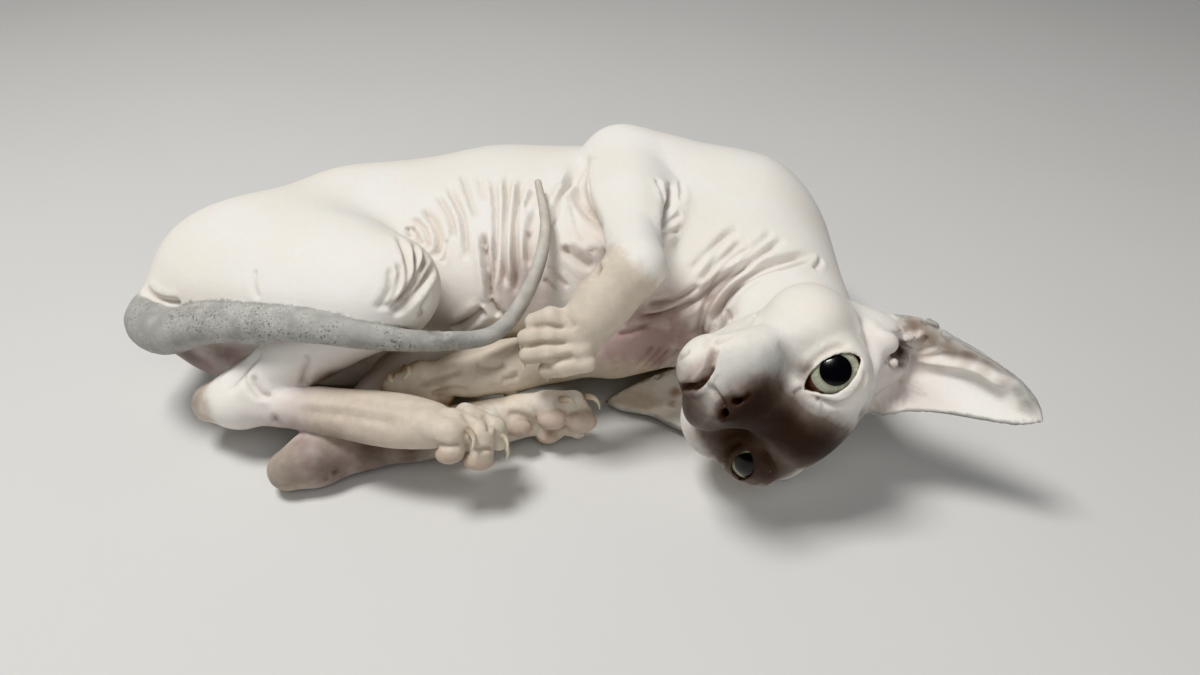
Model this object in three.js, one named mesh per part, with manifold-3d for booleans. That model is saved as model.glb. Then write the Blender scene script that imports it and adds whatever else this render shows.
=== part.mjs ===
// A life-size model of a sphynx cat that lies on its left side and looks towards -Y with its head turned over.
// Millimetres, +Z up. +X runs from the rump to the shoulders, -Y is the belly side, and the cat rests on Z = 0.
// The flesh is one smooth distance field, made of round forms on named bones. Each sub-part is meshed from that
// field where its own forms rule, and is then cut clear of its neighbours by a thin gap.
import * as THREE from "three";
import { mergeVertices } from "three/addons/utils/BufferGeometryUtils.js";
import Module from "manifold-3d";

const wasm = await Module();
wasm.setup();

const at = (x, y, z) => new THREE.Vector3(x, y, z);
const clamp = THREE.MathUtils.clamp;
const lerp = THREE.MathUtils.lerp;

// Driving sizes
const GAP = 0.4; // between two sub-parts that touch
const ROOT_MARGIN = 3; // how far a leg's root takes in the flesh round its own forms
const EYE_RADIUS = 12.4;
const LID_THICKNESS = 1.7;
const LID_OPENING = 22; // from corner to corner
const EAR_THICKNESS = 2.2;
const HIND_CLAW = 9; // how far a hind claw stands out, and a fore claw, which is drawn in
const FORE_CLAW = 6;
const CLAW_RADIUS = 1.6;
const TAIL_RADII = [12, 10, 8.6, 8.1, 6, 4.6, 3.7, 3.2, 2.6, 1.6];
// For each kind of sub-part, the step at which its flesh is sampled and the triangles it is thinned out to
const facets = {
  head: [3, 2300],
  foot: [3.4, 950],
  paw: [3.2, 750],
  limb: [4.5, 340],
  root: [6, 420],
  neck: [6, 420],
  trunk: [7, 1500],
};

// Landmarks of the skeleton, in the part's frame
const bones = {
  withers: at(74, 88, 52),
  neckBase: at(76, 64, 46),
  hipRight: at(-160, 34, 60),
  kneeRight: at(-86, 0, 70),
  hockRight: at(-160, -14, 30),
  heelRight: at(-171, -12, 24),
  ballRight: at(-66, -43, 36),
  hipLeft: at(-158, 40, 24),
  kneeLeft: at(-68, 44, 18),
  hockLeft: at(-117, -38, 11),
  heelLeft: at(-127, -44, 10),
  ballLeft: at(-32, -13, 13),
  shoulderRight: at(66, 76, 62),
  elbowRight: at(9, 86, 85),
  wristRight: at(18, -6, 84),
  knuckleRight: at(-6, -15, 64),
  shoulderLeft: at(84, 66, 24),
  elbowLeft: at(44, 20, 19),
  wristLeft: at(-38, 0, 30),
  knuckleLeft: at(-63, -9, 32),
};

// The head's own frame: x along the muzzle, y to the cat's left, z to the crown
const headPlace = new THREE.Matrix4()
  .makeBasis(at(-0.336, -0.897, 0.288), at(-0.567, -0.052, -0.822), at(0.752, -0.44, -0.49))
  .setPosition(75, -32, 45);
const headInverse = headPlace.clone().invert();

// Fields: each takes x, y, z and gives the distance to a surface, negative inside

function ball(centre, radius) {
  return (x, y, z) =>
    Math.sqrt((x - centre.x) ** 2 + (y - centre.y) ** 2 + (z - centre.z) ** 2) - radius;
}

// A round rod from a to b whose radius runs from ra to rb
function rod(a, b, ra, rb = ra) {
  const ab = b.clone().sub(a);
  const square = ab.lengthSq();
  return (x, y, z) => {
    const px = x - a.x;
    const py = y - a.y;
    const pz = z - a.z;
    const t = clamp((px * ab.x + py * ab.y + pz * ab.z) / square, 0, 1);
    const dx = px - ab.x * t;
    const dy = py - ab.y * t;
    const dz = pz - ab.z * t;
    return Math.sqrt(dx * dx + dy * dy + dz * dz) - lerp(ra, rb, t);
  };
}

// An egg with its three radii along a direction, across it and towards up
function egg(centre, radii, along = at(1, 0, 0), up = at(0, 0, 1)) {
  const e1 = along.clone().normalize();
  const e2 = up.clone().cross(e1).normalize();
  const e3 = e1.clone().cross(e2);
  const [r1, r2, r3] = radii;
  return (x, y, z) => {
    const px = x - centre.x;
    const py = y - centre.y;
    const pz = z - centre.z;
    const a = (px * e1.x + py * e1.y + pz * e1.z) / r1;
    const b = (px * e2.x + py * e2.y + pz * e2.z) / r2;
    const c = (px * e3.x + py * e3.y + pz * e3.z) / r3;
    const k0 = Math.sqrt(a * a + b * b + c * c);
    const k1 = Math.sqrt((a / r1) ** 2 + (b / r2) ** 2 + (c / r3) ** 2);
    return k1 > 1e-9 ? (k0 * (k0 - 1)) / k1 : -Math.min(r1, r2, r3);
  };
}

// The union of two distances, rounded over a width k
function smooth(a, b, k) {
  const h = Math.max(k - Math.abs(a - b), 0);
  return Math.min(a, b) - (h * h) / (4 * k);
}

// Forms that melt into one another everywhere
function fuse(k, forms) {
  return (x, y, z) => {
    let d = forms[0](x, y, z);
    for (let i = 1; i < forms.length; i++) d = smooth(d, forms[i](x, y, z), k);
    return d;
  };
}

// Two bodies that melt together near a joint, and only touch away from it
function hang(body, limb, k, joint, reach) {
  const sharp = 0.6;
  return (x, y, z) => {
    const a = body(x, y, z);
    const b = limb(x, y, z);
    if (Math.abs(a - b) > k) return Math.min(a, b);
    const away = Math.sqrt((x - joint.x) ** 2 + (y - joint.y) ** 2 + (z - joint.z) ** 2) / reach;
    const fade = clamp(2 - away, 0, 1);
    return smooth(a, b, sharp + (k - sharp) * fade * fade * (3 - 2 * fade));
  };
}

function placed(field, inverse) {
  const e = inverse.elements;
  return (x, y, z) =>
    field(
      e[0] * x + e[4] * y + e[8] * z + e[12],
      e[1] * x + e[5] * y + e[9] * z + e[13],
      e[2] * x + e[6] * y + e[10] * z + e[14],
    );
}

// Trunk: rump, loins, belly, ribs and shoulders, and the root of the tail
const tailRoot = [at(-166, 38, 45), at(-193, 13, 46)];
const barrel = fuse(26, [
  egg(at(-162, 38, 43), [41, 37, 41], at(1, 0.4, 0)),
  egg(at(-112, 66, 45), [54, 48, 44], at(1, 0.4, 0)),
  egg(at(-46, 77, 46), [58, 63, 45], at(1, 0.12, 0)),
  egg(at(12, 73, 46), [54, 63, 45], at(1, -0.05, 0)),
  egg(at(54, 66, 46), [42, 50, 42], at(1, -0.3, 0)),
]);
const trunk = hang(barrel, rod(...tailRoot, 22, 12), 10, tailRoot[0], 60);

// Hind legs; a lower leg that lies flat is slimmer
function hindLeg(hip, knee, hock, heel, toeBase, girth) {
  const thighCentre = hip.clone().lerp(knee, 0.42);
  const thighRadii = [58, 36, 27].map((r) => r * girth);
  const thigh = fuse(14, [
    egg(thighCentre, thighRadii, knee.clone().sub(hip), at(0, 0, 1)),
    rod(hip.clone().lerp(knee, 0.5), knee, 24 * girth, 18 * girth),
  ]);
  const shin = fuse(8, [
    rod(knee, hock, 17 * girth, 10 * girth),
    rod(knee.clone().lerp(hock, 0.15), knee.clone().lerp(hock, 0.55), 18 * girth, 12 * girth),
  ]);
  const foot = fuse(6, [rod(heel, hock, 8.5, 10), rod(hock, toeBase.clone().lerp(hock, 0.3), 10, 9.5)]);
  return { thigh, shin, foot, thighCentre, thighRadii };
}
const rightHind = hindLeg(
  bones.hipRight,
  bones.kneeRight,
  bones.hockRight,
  bones.heelRight,
  bones.ballRight,
  1,
);
const leftHind = hindLeg(
  bones.hipLeft,
  bones.kneeLeft,
  bones.hockLeft,
  bones.heelLeft,
  bones.ballLeft,
  0.86,
);

// A paw: a flat back from the ankle to the toe knuckles, four toes, and the pads under them
function paw(ankle, knuckles, up, size) {
  const along = knuckles.clone().sub(ankle).normalize();
  const across = up.clone().cross(along).normalize();
  const top = along.clone().cross(across);
  const spot = (forward, sideways, raised) =>
    knuckles
      .clone()
      .addScaledVector(along, forward * size)
      .addScaledVector(across, sideways * size)
      .addScaledVector(top, raised * size);
  const back = egg(ankle.clone().lerp(knuckles, 0.62), [ankle.distanceTo(knuckles) * 0.56, 12.5 * size, 9 * size], along, top);
  const forms = [rod(ankle, knuckles, 10.5 * size, 8.5 * size), back];
  const tips = [];
  for (let i = 0; i < 4; i++) {
    const side = i - 1.5;
    const reach = Math.abs(side) < 1 ? 1 : 0.78;
    const root = spot(-4, side * 5.6, 0.5);
    const knuckle = spot(9 * reach, side * 7.4, 3.2);
    const tip = spot(20 * reach, side * 8.2, -3.4);
    forms.push(fuse(2.5, [rod(root, knuckle, 5.6 * size, 5.6 * size), rod(knuckle, tip, 5.6 * size, 5.4 * size)]));
    tips.push({ tip, along: along.clone().addScaledVector(across, side * 0.08), top });
  }
  const pad = egg(spot(1, 0, -7.2), [9.5 * size, 9.5 * size, 5 * size], along, top);
  const toes = (x, y, z) => {
    let d = smooth(forms[0](x, y, z), forms[1](x, y, z), 6);
    for (let i = 2; i < forms.length; i++) d = smooth(d, forms[i](x, y, z), 2.2);
    return smooth(d, pad(x, y, z), 2);
  };
  return { field: toes, tips };
}

const midFoot = (hock, toeBase) => hock.clone().lerp(toeBase, 0.45);
const pawHindRight = paw(midFoot(bones.hockRight, bones.ballRight), bones.ballRight, at(0.1, -0.3, 0.95), 1);
const pawHindLeft = paw(midFoot(bones.hockLeft, bones.ballLeft), bones.ballLeft, at(0, 0.85, 0.5), 1.05);
const pawForeRight = paw(bones.wristRight, bones.knuckleRight, at(-0.1, -0.8, 0.6), 1);
const pawForeLeft = paw(bones.wristLeft, bones.knuckleLeft, at(0, -0.6, 0.8), 0.95);

// Fore legs
function foreLeg(shoulder, elbow, wrist) {
  return {
    upper: fuse(12, [rod(shoulder, elbow, 27, 15), rod(elbow, elbow.clone().lerp(shoulder, 0.3), 12, 16)]),
    lower: fuse(8, [rod(elbow, wrist, 13, 11), rod(elbow, elbow.clone().lerp(wrist, 0.45), 13, 14.5)]),
  };
}
const rightFore = foreLeg(bones.shoulderRight, bones.elbowRight, bones.wristRight);
const leftFore = foreLeg(bones.shoulderLeft, bones.elbowLeft, bones.wristLeft);

// Neck
const inHead = (x, y, z) => at(x, y, z).applyMatrix4(headPlace);
const neck = fuse(14, [
  rod(bones.neckBase, inHead(-28, 0, 0), 32, 27),
  rod(bones.withers, inHead(-34, 0, 6), 24, 20),
]);

// Head, in its own frame and the same on both sides
const both = (make) => [make(1), make(-1)];
const eyeCentre = (side) => at(19.5, side * 22, 5.5);
const skull = fuse(9, [
  egg(at(-8, 0, 2), [36, 39, 27]),
  egg(at(12, 0, 11), [22, 29, 16]),
  rod(at(18, 0, 3), at(44, 0, -12.5), 14, 8.5),
  rod(at(6, 0, -16), at(35, 0, -30), 19, 9),
  egg(at(30, 0, -19), [18, 17, 12]),
  ...both((s) => egg(at(9, s * 25, -11), [21, 17, 17])),
  ...both((s) => egg(at(-11, s * 29, 15), [12, 15, 15])),
]);
const face = fuse(4, [
  skull,
  ...both((s) => ball(eyeCentre(s), EYE_RADIUS + LID_THICKNESS)),
  ...both((s) => egg(at(39.5, s * 11, -21), [15, 10.5, 9.5], at(-0.75, s * 0.6, 0.15))),
  egg(at(41, 0, -34.5), [10, 10.5, 8.5], at(1, 0, -0.3)),
  egg(at(50.5, 0, -14.8), [4.5, 6.5, 5]),
]);
const head = placed(face, headInverse);

// How the bodies hang together
const rightHindLeg = hang(
  hang(rightHind.thigh, rightHind.shin, 10, bones.kneeRight, 24),
  fuse(4, [rightHind.foot, pawHindRight.field]),
  8,
  bones.hockRight,
  16,
);
const leftHindLeg = hang(
  hang(leftHind.thigh, leftHind.shin, 10, bones.kneeLeft, 24),
  fuse(4, [leftHind.foot, pawHindLeft.field]),
  8,
  bones.hockLeft,
  16,
);
const rightForeLeg = hang(
  hang(rightFore.upper, rightFore.lower, 9, bones.elbowRight, 20),
  pawForeRight.field,
  8,
  bones.wristRight,
  16,
);
const leftForeLeg = hang(
  hang(leftFore.upper, leftFore.lower, 9, bones.elbowLeft, 20),
  pawForeLeft.field,
  8,
  bones.wristLeft,
  16,
);
const withNeck = hang(hang(trunk, neck, 24, bones.neckBase, 60), head, 14, inHead(-30, 0, 4), 30);
const flesh = {
  trunk: [
    [rightHindLeg, 18, bones.hipRight, 45],
    [leftHindLeg, 18, bones.hipLeft, 45],
    [rightForeLeg, 18, bones.shoulderRight, 48],
    [leftForeLeg, 14, bones.shoulderLeft, 40],
  ].reduce((body, [limb, k, joint, reach]) => hang(body, limb, k, joint, reach), withNeck),
};
const whole = flesh.trunk;

// A closed surface where the field is zero: one point in each cell that the surface crosses
function netSurface(field, low, high, cell) {
  const n = [0, 1, 2].map((i) => Math.ceil((high.getComponent(i) - low.getComponent(i)) / cell) + 1);
  const [nx, ny, nz] = n;
  const index = (i, j, k) => i + nx * (j + ny * k);
  const values = new Float32Array(nx * ny * nz);
  for (let k = 0; k < nz; k++)
    for (let j = 0; j < ny; j++)
      for (let i = 0; i < nx; i++) {
        const edge = i === 0 || j === 0 || k === 0 || i === nx - 1 || j === ny - 1 || k === nz - 1;
        values[index(i, j, k)] = edge ? cell : field(low.x + i * cell, low.y + j * cell, low.z + k * cell);
      }
  const corners = [];
  for (let c = 0; c < 8; c++) corners.push([c & 1, (c >> 1) & 1, (c >> 2) & 1]);
  const cellPoint = new Int32Array(nx * ny * nz).fill(-1);
  const points = [];
  for (let k = 0; k < nz - 1; k++)
    for (let j = 0; j < ny - 1; j++)
      for (let i = 0; i < nx - 1; i++) {
        const v = corners.map(([a, b, c]) => values[index(i + a, j + b, k + c)]);
        const inside = v.filter((d) => d < 0).length;
        if (inside === 0 || inside === 8) continue;
        const sum = [0, 0, 0];
        let crossings = 0;
        for (let c = 0; c < 8; c++)
          for (const bit of [1, 2, 4]) {
            if (c & bit) continue;
            const d = c | bit;
            if (v[c] < 0 === v[d] < 0) continue;
            const t = v[c] / (v[c] - v[d]);
            for (let axis = 0; axis < 3; axis++) sum[axis] += lerp(corners[c][axis], corners[d][axis], t);
            crossings++;
          }
        cellPoint[index(i, j, k)] = points.length / 3;
        points.push(
          low.x + (i + sum[0] / crossings) * cell,
          low.y + (j + sum[1] / crossings) * cell,
          low.z + (k + sum[2] / crossings) * cell,
        );
      }
  settle(points, field, cell);
  const faces = [];
  const near = (a, b) =>
    (points[3 * a] - points[3 * b]) ** 2 +
    (points[3 * a + 1] - points[3 * b + 1]) ** 2 +
    (points[3 * a + 2] - points[3 * b + 2]) ** 2;
  const quad = (a, b, c, d, flip) => {
    const [p, q, r, s] = flip ? [a, d, c, b] : [a, b, c, d];
    if (near(p, r) < near(q, s)) faces.push(p, q, r, p, r, s);
    else faces.push(p, q, s, q, r, s);
  };
  for (let k = 0; k < nz - 1; k++)
    for (let j = 0; j < ny - 1; j++)
      for (let i = 0; i < nx - 1; i++) {
        const inside = values[index(i, j, k)] < 0;
        const point = (a, b, c) => cellPoint[index(i - a, j - b, k - c)];
        if (j && k && inside !== values[index(i + 1, j, k)] < 0)
          quad(point(0, 1, 1), point(0, 0, 1), point(0, 0, 0), point(0, 1, 0), !inside);
        if (i && k && inside !== values[index(i, j + 1, k)] < 0)
          quad(point(1, 0, 1), point(1, 0, 0), point(0, 0, 0), point(0, 0, 1), !inside);
        if (i && j && inside !== values[index(i, j, k + 1)] < 0)
          quad(point(1, 1, 0), point(0, 1, 0), point(0, 0, 0), point(1, 0, 0), !inside);
      }
  const geometry = new THREE.BufferGeometry();
  geometry.setAttribute("position", new THREE.Float32BufferAttribute(points, 3));
  geometry.setIndex(faces);
  return geometry;
}

// Moves points onto the field's zero surface, by at most half a cell
function settle(points, field, cell) {
  const step = cell * 0.05;
  for (let round = 0; round < 2; round++)
    for (let i = 0; i < points.length; i += 3) {
      const [x, y, z] = points.slice(i, i + 3);
      const d = field(x, y, z);
      const gx = (field(x + step, y, z) - field(x - step, y, z)) / (2 * step);
      const gy = (field(x, y + step, z) - field(x, y - step, z)) / (2 * step);
      const gz = (field(x, y, z + step) - field(x, y, z - step)) / (2 * step);
      const move = clamp(d / Math.max(gx * gx + gy * gy + gz * gz, 0.25), -cell * 0.25, cell * 0.25);
      points[i] -= gx * move;
      points[i + 1] -= gy * move;
      points[i + 2] -= gz * move;
    }
}

// Thins a closed surface out to a number of triangles, where it is flattest first, within a distance of itself.
// Points that move are put back on the field's surface, if there is one.
function thinned(geometry, count, distance, field) {
  const points = [];
  const source = geometry.attributes.position;
  for (let i = 0; i < source.count; i++) points.push(new THREE.Vector3().fromBufferAttribute(source, i));
  const faces = [];
  const around = points.map(() => new Set());
  const quadrics = points.map(() => new Float64Array(11));
  for (let i = 0; i < geometry.index.count; i += 3) {
    const face = [0, 1, 2].map((k) => geometry.index.getX(i + k));
    const [a, b, c] = face.map((k) => points[k]);
    const normal = b.clone().sub(a).cross(c.clone().sub(a));
    const area = normal.length() / 2;
    normal.normalize();
    const plane = [normal.x, normal.y, normal.z, -normal.dot(a)];
    for (const k of face) {
      around[k].add(faces.length);
      let slot = 0;
      for (let m = 0; m < 4; m++) for (let n = m; n < 4; n++) quadrics[k][slot++] += area * plane[m] * plane[n];
      quadrics[k][10] += area;
    }
    faces.push(face);
  }
  const error = (p, qa, qb) => {
    const h = [p.x, p.y, p.z, 1];
    let sum = 0;
    let slot = 0;
    for (let m = 0; m < 4; m++)
      for (let n = m; n < 4; n++) {
        sum += (m === n ? 1 : 2) * (qa[slot] + qb[slot]) * h[m] * h[n];
        slot++;
      }
    return sum / (qa[10] + qb[10]);
  };
  const neighbours = (k) => new Set([...around[k]].flatMap((f) => faces[f]).filter((v) => v !== k));
  const sides = ([p, q, r]) => p.distanceToSquared(q) + q.distanceToSquared(r) + r.distanceToSquared(p);
  const before = new THREE.Vector3();
  const after = new THREE.Vector3();
  const keepsShape = (k, other, moved) =>
    [...around[k]].every((f) => {
      if (faces[f].includes(other)) return true;
      const old = faces[f].map((v) => points[v]);
      const now = faces[f].map((v) => (v === k ? moved : points[v]));
      before.copy(old[1]).sub(old[0]).cross(after.copy(old[2]).sub(old[0]));
      after.copy(now[1]).sub(now[0]).cross(now[2].clone().sub(now[0]));
      const worth = Math.min(0.12, (0.9 * before.length()) / sides(old));
      return after.length() > worth * sides(now) && after.dot(before) > 0.6 * after.length() * before.length();
    });
  let alive = faces.length;
  for (let limit = distance ** 2 / 400; alive > count && limit < distance ** 2; limit *= 1.5)
    for (let f = 0; f < faces.length && alive > count; f++)
      for (let k = 0; k < 3 && faces[f]; k++) {
        const a = faces[f][k];
        const b = faces[f][(k + 1) % 3];
        const middle = points[a].clone().add(points[b]).multiplyScalar(0.5);
        const moved = [middle, points[a].clone(), points[b].clone()].reduce((best, p) =>
          error(p, quadrics[a], quadrics[b]) < error(best, quadrics[a], quadrics[b]) - 1e-7 ? p : best,
        );
        if (error(moved, quadrics[a], quadrics[b]) > limit) continue;
        const near = neighbours(b);
        if ([...neighbours(a)].filter((v) => near.has(v)).length !== 2) continue;
        if (field) {
          const spot = middle.toArray();
          settle(spot, field, 3);
          moved.fromArray(spot);
        }
        if (!keepsShape(a, b, moved) || !keepsShape(b, a, moved)) continue;
        points[a].copy(moved);
        for (let m = 0; m < 11; m++) quadrics[a][m] += quadrics[b][m];
        for (const g of [...around[b]]) {
          if (faces[g].includes(a)) {
            for (const v of faces[g]) around[v].delete(g);
            faces[g] = null;
            alive--;
          } else {
            faces[g][faces[g].indexOf(b)] = a;
            around[a].add(g);
          }
        }
        around[b].clear();
      }
  const thin = new THREE.BufferGeometry();
  thin.setAttribute("position", new THREE.Float32BufferAttribute(points.flatMap((p) => p.toArray()), 3));
  thin.setIndex(faces.filter((f) => f).flat());
  return thin;
}

// Solids

function solidFrom(geometry) {
  const bare = geometry.clone();
  for (const name of Object.keys(bare.attributes)) if (name !== "position") bare.deleteAttribute(name);
  const merged = mergeVertices(bare, 1e-4);
  return new wasm.Manifold(
    new wasm.Mesh({
      numProp: 3,
      vertProperties: new Float32Array(merged.attributes.position.array),
      triVerts: new Uint32Array(merged.index.array),
    }),
  );
}

function geometryFrom(solid) {
  const mesh = solid.getMesh();
  const geometry = new THREE.BufferGeometry();
  geometry.setAttribute("position", new THREE.BufferAttribute(mesh.vertProperties, 3));
  geometry.setIndex(new THREE.BufferAttribute(mesh.triVerts, 1));
  geometry.computeVertexNormals();
  return geometry;
}

function largestBody(solid) {
  return solid.decompose().reduce((best, s) => (s.volume() > best.volume() ? s : best));
}

// Draws points that share one spot apart by a hair, each to its own inside
function unpinched(geometry) {
  const { position, normal } = geometry.attributes;
  const spots = new Map();
  for (let i = 0; i < position.count; i++) {
    const key = `${position.getX(i)} ${position.getY(i)} ${position.getZ(i)}`;
    spots.set(key, [...(spots.get(key) ?? []), i]);
  }
  for (const shared of spots.values())
    for (const i of shared.length > 1 ? shared : []) {
      const [x, y, z] = [position.getX(i), position.getY(i), position.getZ(i)];
      position.setXYZ(i, x - normal.getX(i) * 0.05, y - normal.getY(i) * 0.05, z - normal.getZ(i) * 0.05);
    }
  return geometry;
}

// The same solid with its surface moved out by a distance
function swollen(solid, distance) {
  const geometry = geometryFrom(solid);
  const { position, normal } = geometry.attributes;
  for (let i = 0; i < position.count; i++)
    position.setXYZ(
      i,
      position.getX(i) + normal.getX(i) * distance,
      position.getY(i) + normal.getY(i) * distance,
      position.getZ(i) + normal.getZ(i) * distance,
    );
  return solidFrom(geometry);
}

const floor = solidFrom(new THREE.BoxGeometry(900, 900, 100).translate(0, 0, -50));

// Everything on the far side of a plane, less half a gap
function beyond(point, direction) {
  const depth = 400;
  const box = new THREE.BoxGeometry(800, 800, depth).translate(0, 0, depth / 2 - GAP / 2);
  const turn = new THREE.Quaternion().setFromUnitVectors(at(0, 0, 1), direction.clone().normalize());
  box.applyMatrix4(new THREE.Matrix4().compose(point, turn, at(1, 1, 1)));
  return solidFrom(box);
}

// The direction that halves a bent joint, on the side of the first bone
function mitre(first, joint, second) {
  return first.clone().sub(joint).normalize().sub(second.clone().sub(joint).normalize()).normalize();
}

// A faceted rod with round ends, grown by a margin
function rodSolid(a, b, ra, rb, margin, sides = 16) {
  const length = a.distanceTo(b);
  const profile = [];
  const turns = 5;
  for (let i = 0; i <= turns; i++) {
    const angle = (i / turns) * (Math.PI / 2);
    profile.push(new THREE.Vector2((ra + margin) * Math.sin(angle), -(ra + margin) * Math.cos(angle)));
  }
  for (let i = 0; i <= turns; i++) {
    const angle = (i / turns) * (Math.PI / 2);
    profile.push(new THREE.Vector2((rb + margin) * Math.cos(angle), length + (rb + margin) * Math.sin(angle)));
  }
  profile[0].x = 0;
  profile[profile.length - 1].x = 0;
  const lathe = new THREE.LatheGeometry(profile, sides);
  const turn = new THREE.Quaternion().setFromUnitVectors(at(0, 1, 0), b.clone().sub(a).normalize());
  return solidFrom(lathe.applyMatrix4(new THREE.Matrix4().compose(a, turn, at(1, 1, 1))));
}

// A faceted egg, grown by a margin
function eggSolid(centre, radii, along, up, margin) {
  const e1 = along.clone().normalize();
  const e2 = up.clone().cross(e1).normalize();
  const e3 = e1.clone().cross(e2);
  const [r1, r2, r3] = radii.map((r) => r + margin);
  const place = new THREE.Matrix4().makeBasis(e1, e2, e3).setPosition(centre);
  return solidFrom(new THREE.SphereGeometry(1, 24, 14).scale(r1, r2, r3).applyMatrix4(place));
}

const group = new THREE.Group();
const solids = new Map();

// Adds a sub-part, cut clear of the floor, of given solids and of every earlier sub-part it would enter
function addPart(name, solid, material, cuts = []) {
  let cut = solid.subtract(floor);
  for (const other of cuts) cut = cut.subtract(other);
  for (const other of solids.values()) if (cut.intersect(other).volume() > 0) cut = cut.subtract(swollen(other, GAP));
  const body = solidFrom(thinned(unpinched(geometryFrom(largestBody(cut))), 100, 0.08));
  solids.set(name, body);
  const mesh = new THREE.Mesh(geometryFrom(body), new THREE.MeshStandardMaterial(material));
  mesh.name = name;
  group.add(mesh);
}

const surfaceSolid = (field, { low, high, cell, count }) =>
  solidFrom(thinned(netSurface(field, low, high, cell), count, 2, field));
const space = (x0, y0, z0, x1, y1, z1, [cell, count]) => ({ low: at(x0, y0, z0), high: at(x1, y1, z1), cell, count });

// The flesh within a margin of a sub-part's own forms
const near = (own, margin, flesh) => (x, y, z) => {
  const mine = own(x, y, z) - margin;
  return mine > 14 ? mine : Math.max(mine, flesh(x, y, z));
};

const cream = { color: 0xe6d9c8, roughness: 0.62, metalness: 0 };
const pink = { color: 0xd3b3a2, roughness: 0.62, metalness: 0 };
const mask = { color: 0x8d837a, roughness: 0.62, metalness: 0 };
const smoke = { color: 0x9b958d, roughness: 0.62, metalness: 0 };
const glass = { color: 0x8f9a7c, roughness: 0.05, metalness: 0 };
const horn = { color: 0xe9dcc4, roughness: 0.4, metalness: 0 };

// Claws
function claw({ tip, along, top }, length) {
  const path = new THREE.QuadraticBezierCurve3(
    tip.clone().addScaledVector(along, 0.5).addScaledVector(top, 2.2),
    tip.clone().addScaledVector(along, length * 0.8).addScaledVector(top, 3),
    tip.clone().addScaledVector(along, length).addScaledVector(top, -2.2),
  );
  return tube(path, (u) => lerp(CLAW_RADIUS, 0.35, u), 0, 1, 4, 5);
}

// A closed tube along a curve from u0 to u1, with a radius at each place
function tube(curve, radiusAt, u0, u1, steps, sides) {
  const points = [];
  const faces = [];
  const first = curve.getTangentAt(u0);
  let across = Math.abs(first.z) < 0.8 ? at(0, 0, 1) : at(0, 1, 0);
  for (let i = 0; i <= steps; i++) {
    const u = lerp(u0, u1, i / steps);
    const centre = curve.getPointAt(u);
    const tangent = curve.getTangentAt(u);
    across = across.addScaledVector(tangent, -across.dot(tangent)).normalize();
    const other = tangent.clone().cross(across);
    for (let j = 0; j < sides; j++) {
      const angle = (j / sides) * Math.PI * 2;
      const p = centre
        .clone()
        .addScaledVector(across, Math.cos(angle) * radiusAt(u))
        .addScaledVector(other, Math.sin(angle) * radiusAt(u));
      points.push(p.x, p.y, p.z);
    }
  }
  for (const u of [u0, u1]) points.push(...curve.getPointAt(u).toArray());
  const start = (steps + 1) * sides;
  for (let j = 0; j < sides; j++) {
    const next = (j + 1) % sides;
    faces.push(start, next, j);
    faces.push(start + 1, steps * sides + j, steps * sides + next);
    for (let i = 0; i < steps; i++) {
      const [a, b, c, d] = [i * sides + j, i * sides + next, (i + 1) * sides + j, (i + 1) * sides + next];
      faces.push(a, b, d, a, d, c);
    }
  }
  const geometry = new THREE.BufferGeometry();
  geometry.setAttribute("position", new THREE.Float32BufferAttribute(points, 3));
  geometry.setIndex(faces);
  return solidFrom(geometry);
}

const toes = { hind_right: pawHindRight, hind_left: pawHindLeft, fore_right: pawForeRight, fore_left: pawForeLeft };
for (const [limb, { tips }] of Object.entries(toes))
  tips.forEach((tip, i) => {
    const length = limb.startsWith("hind") ? HIND_CLAW : FORE_CLAW;
    addPart(`claw_${limb}_${i + 1}`, claw(tip, length), horn);
  });

// Tail, in three lengths
const tailCurve = new THREE.CatmullRomCurve3(
  [
    at(-188, 26, 46),
    at(-194, 11, 47),
    at(-182, -3, 50),
    at(-162, -7, 57),
    at(-138, -15, 63),
    at(-112, -24, 67),
    at(-89, -25, 63),
    at(-64, -18, 56),
    at(-43, -6, 52),
    at(-29, 6, 67),
    at(-23, 24, 83),
    at(-27, 48, 94),
  ],
  false,
  "centripetal",
);
function tailRadius(u) {
  const place = u * (TAIL_RADII.length - 1);
  const i = Math.min(Math.floor(place), TAIL_RADII.length - 2);
  return lerp(TAIL_RADII[i], TAIL_RADII[i + 1], place - i);
}
const tailGap = GAP / tailCurve.getLength() / 2;
addPart("tail_base", tube(tailCurve, tailRadius, 0, 0.33 - tailGap, 12, 12), smoke);
addPart("tail_middle", tube(tailCurve, tailRadius, 0.33 + tailGap, 0.68 - tailGap, 12, 10), smoke);
addPart("tail_tip", tube(tailCurve, tailRadius, 0.68 + tailGap, 1, 14, 8), smoke);

// Eyes
for (const [name, side] of [
  ["eye_left", 1],
  ["eye_right", -1],
]) {
  const ball = new THREE.SphereGeometry(EYE_RADIUS, 16, 10).translate(...eyeCentre(side).toArray());
  addPart(name, solidFrom(ball.applyMatrix4(headPlace)), glass);
}

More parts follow.
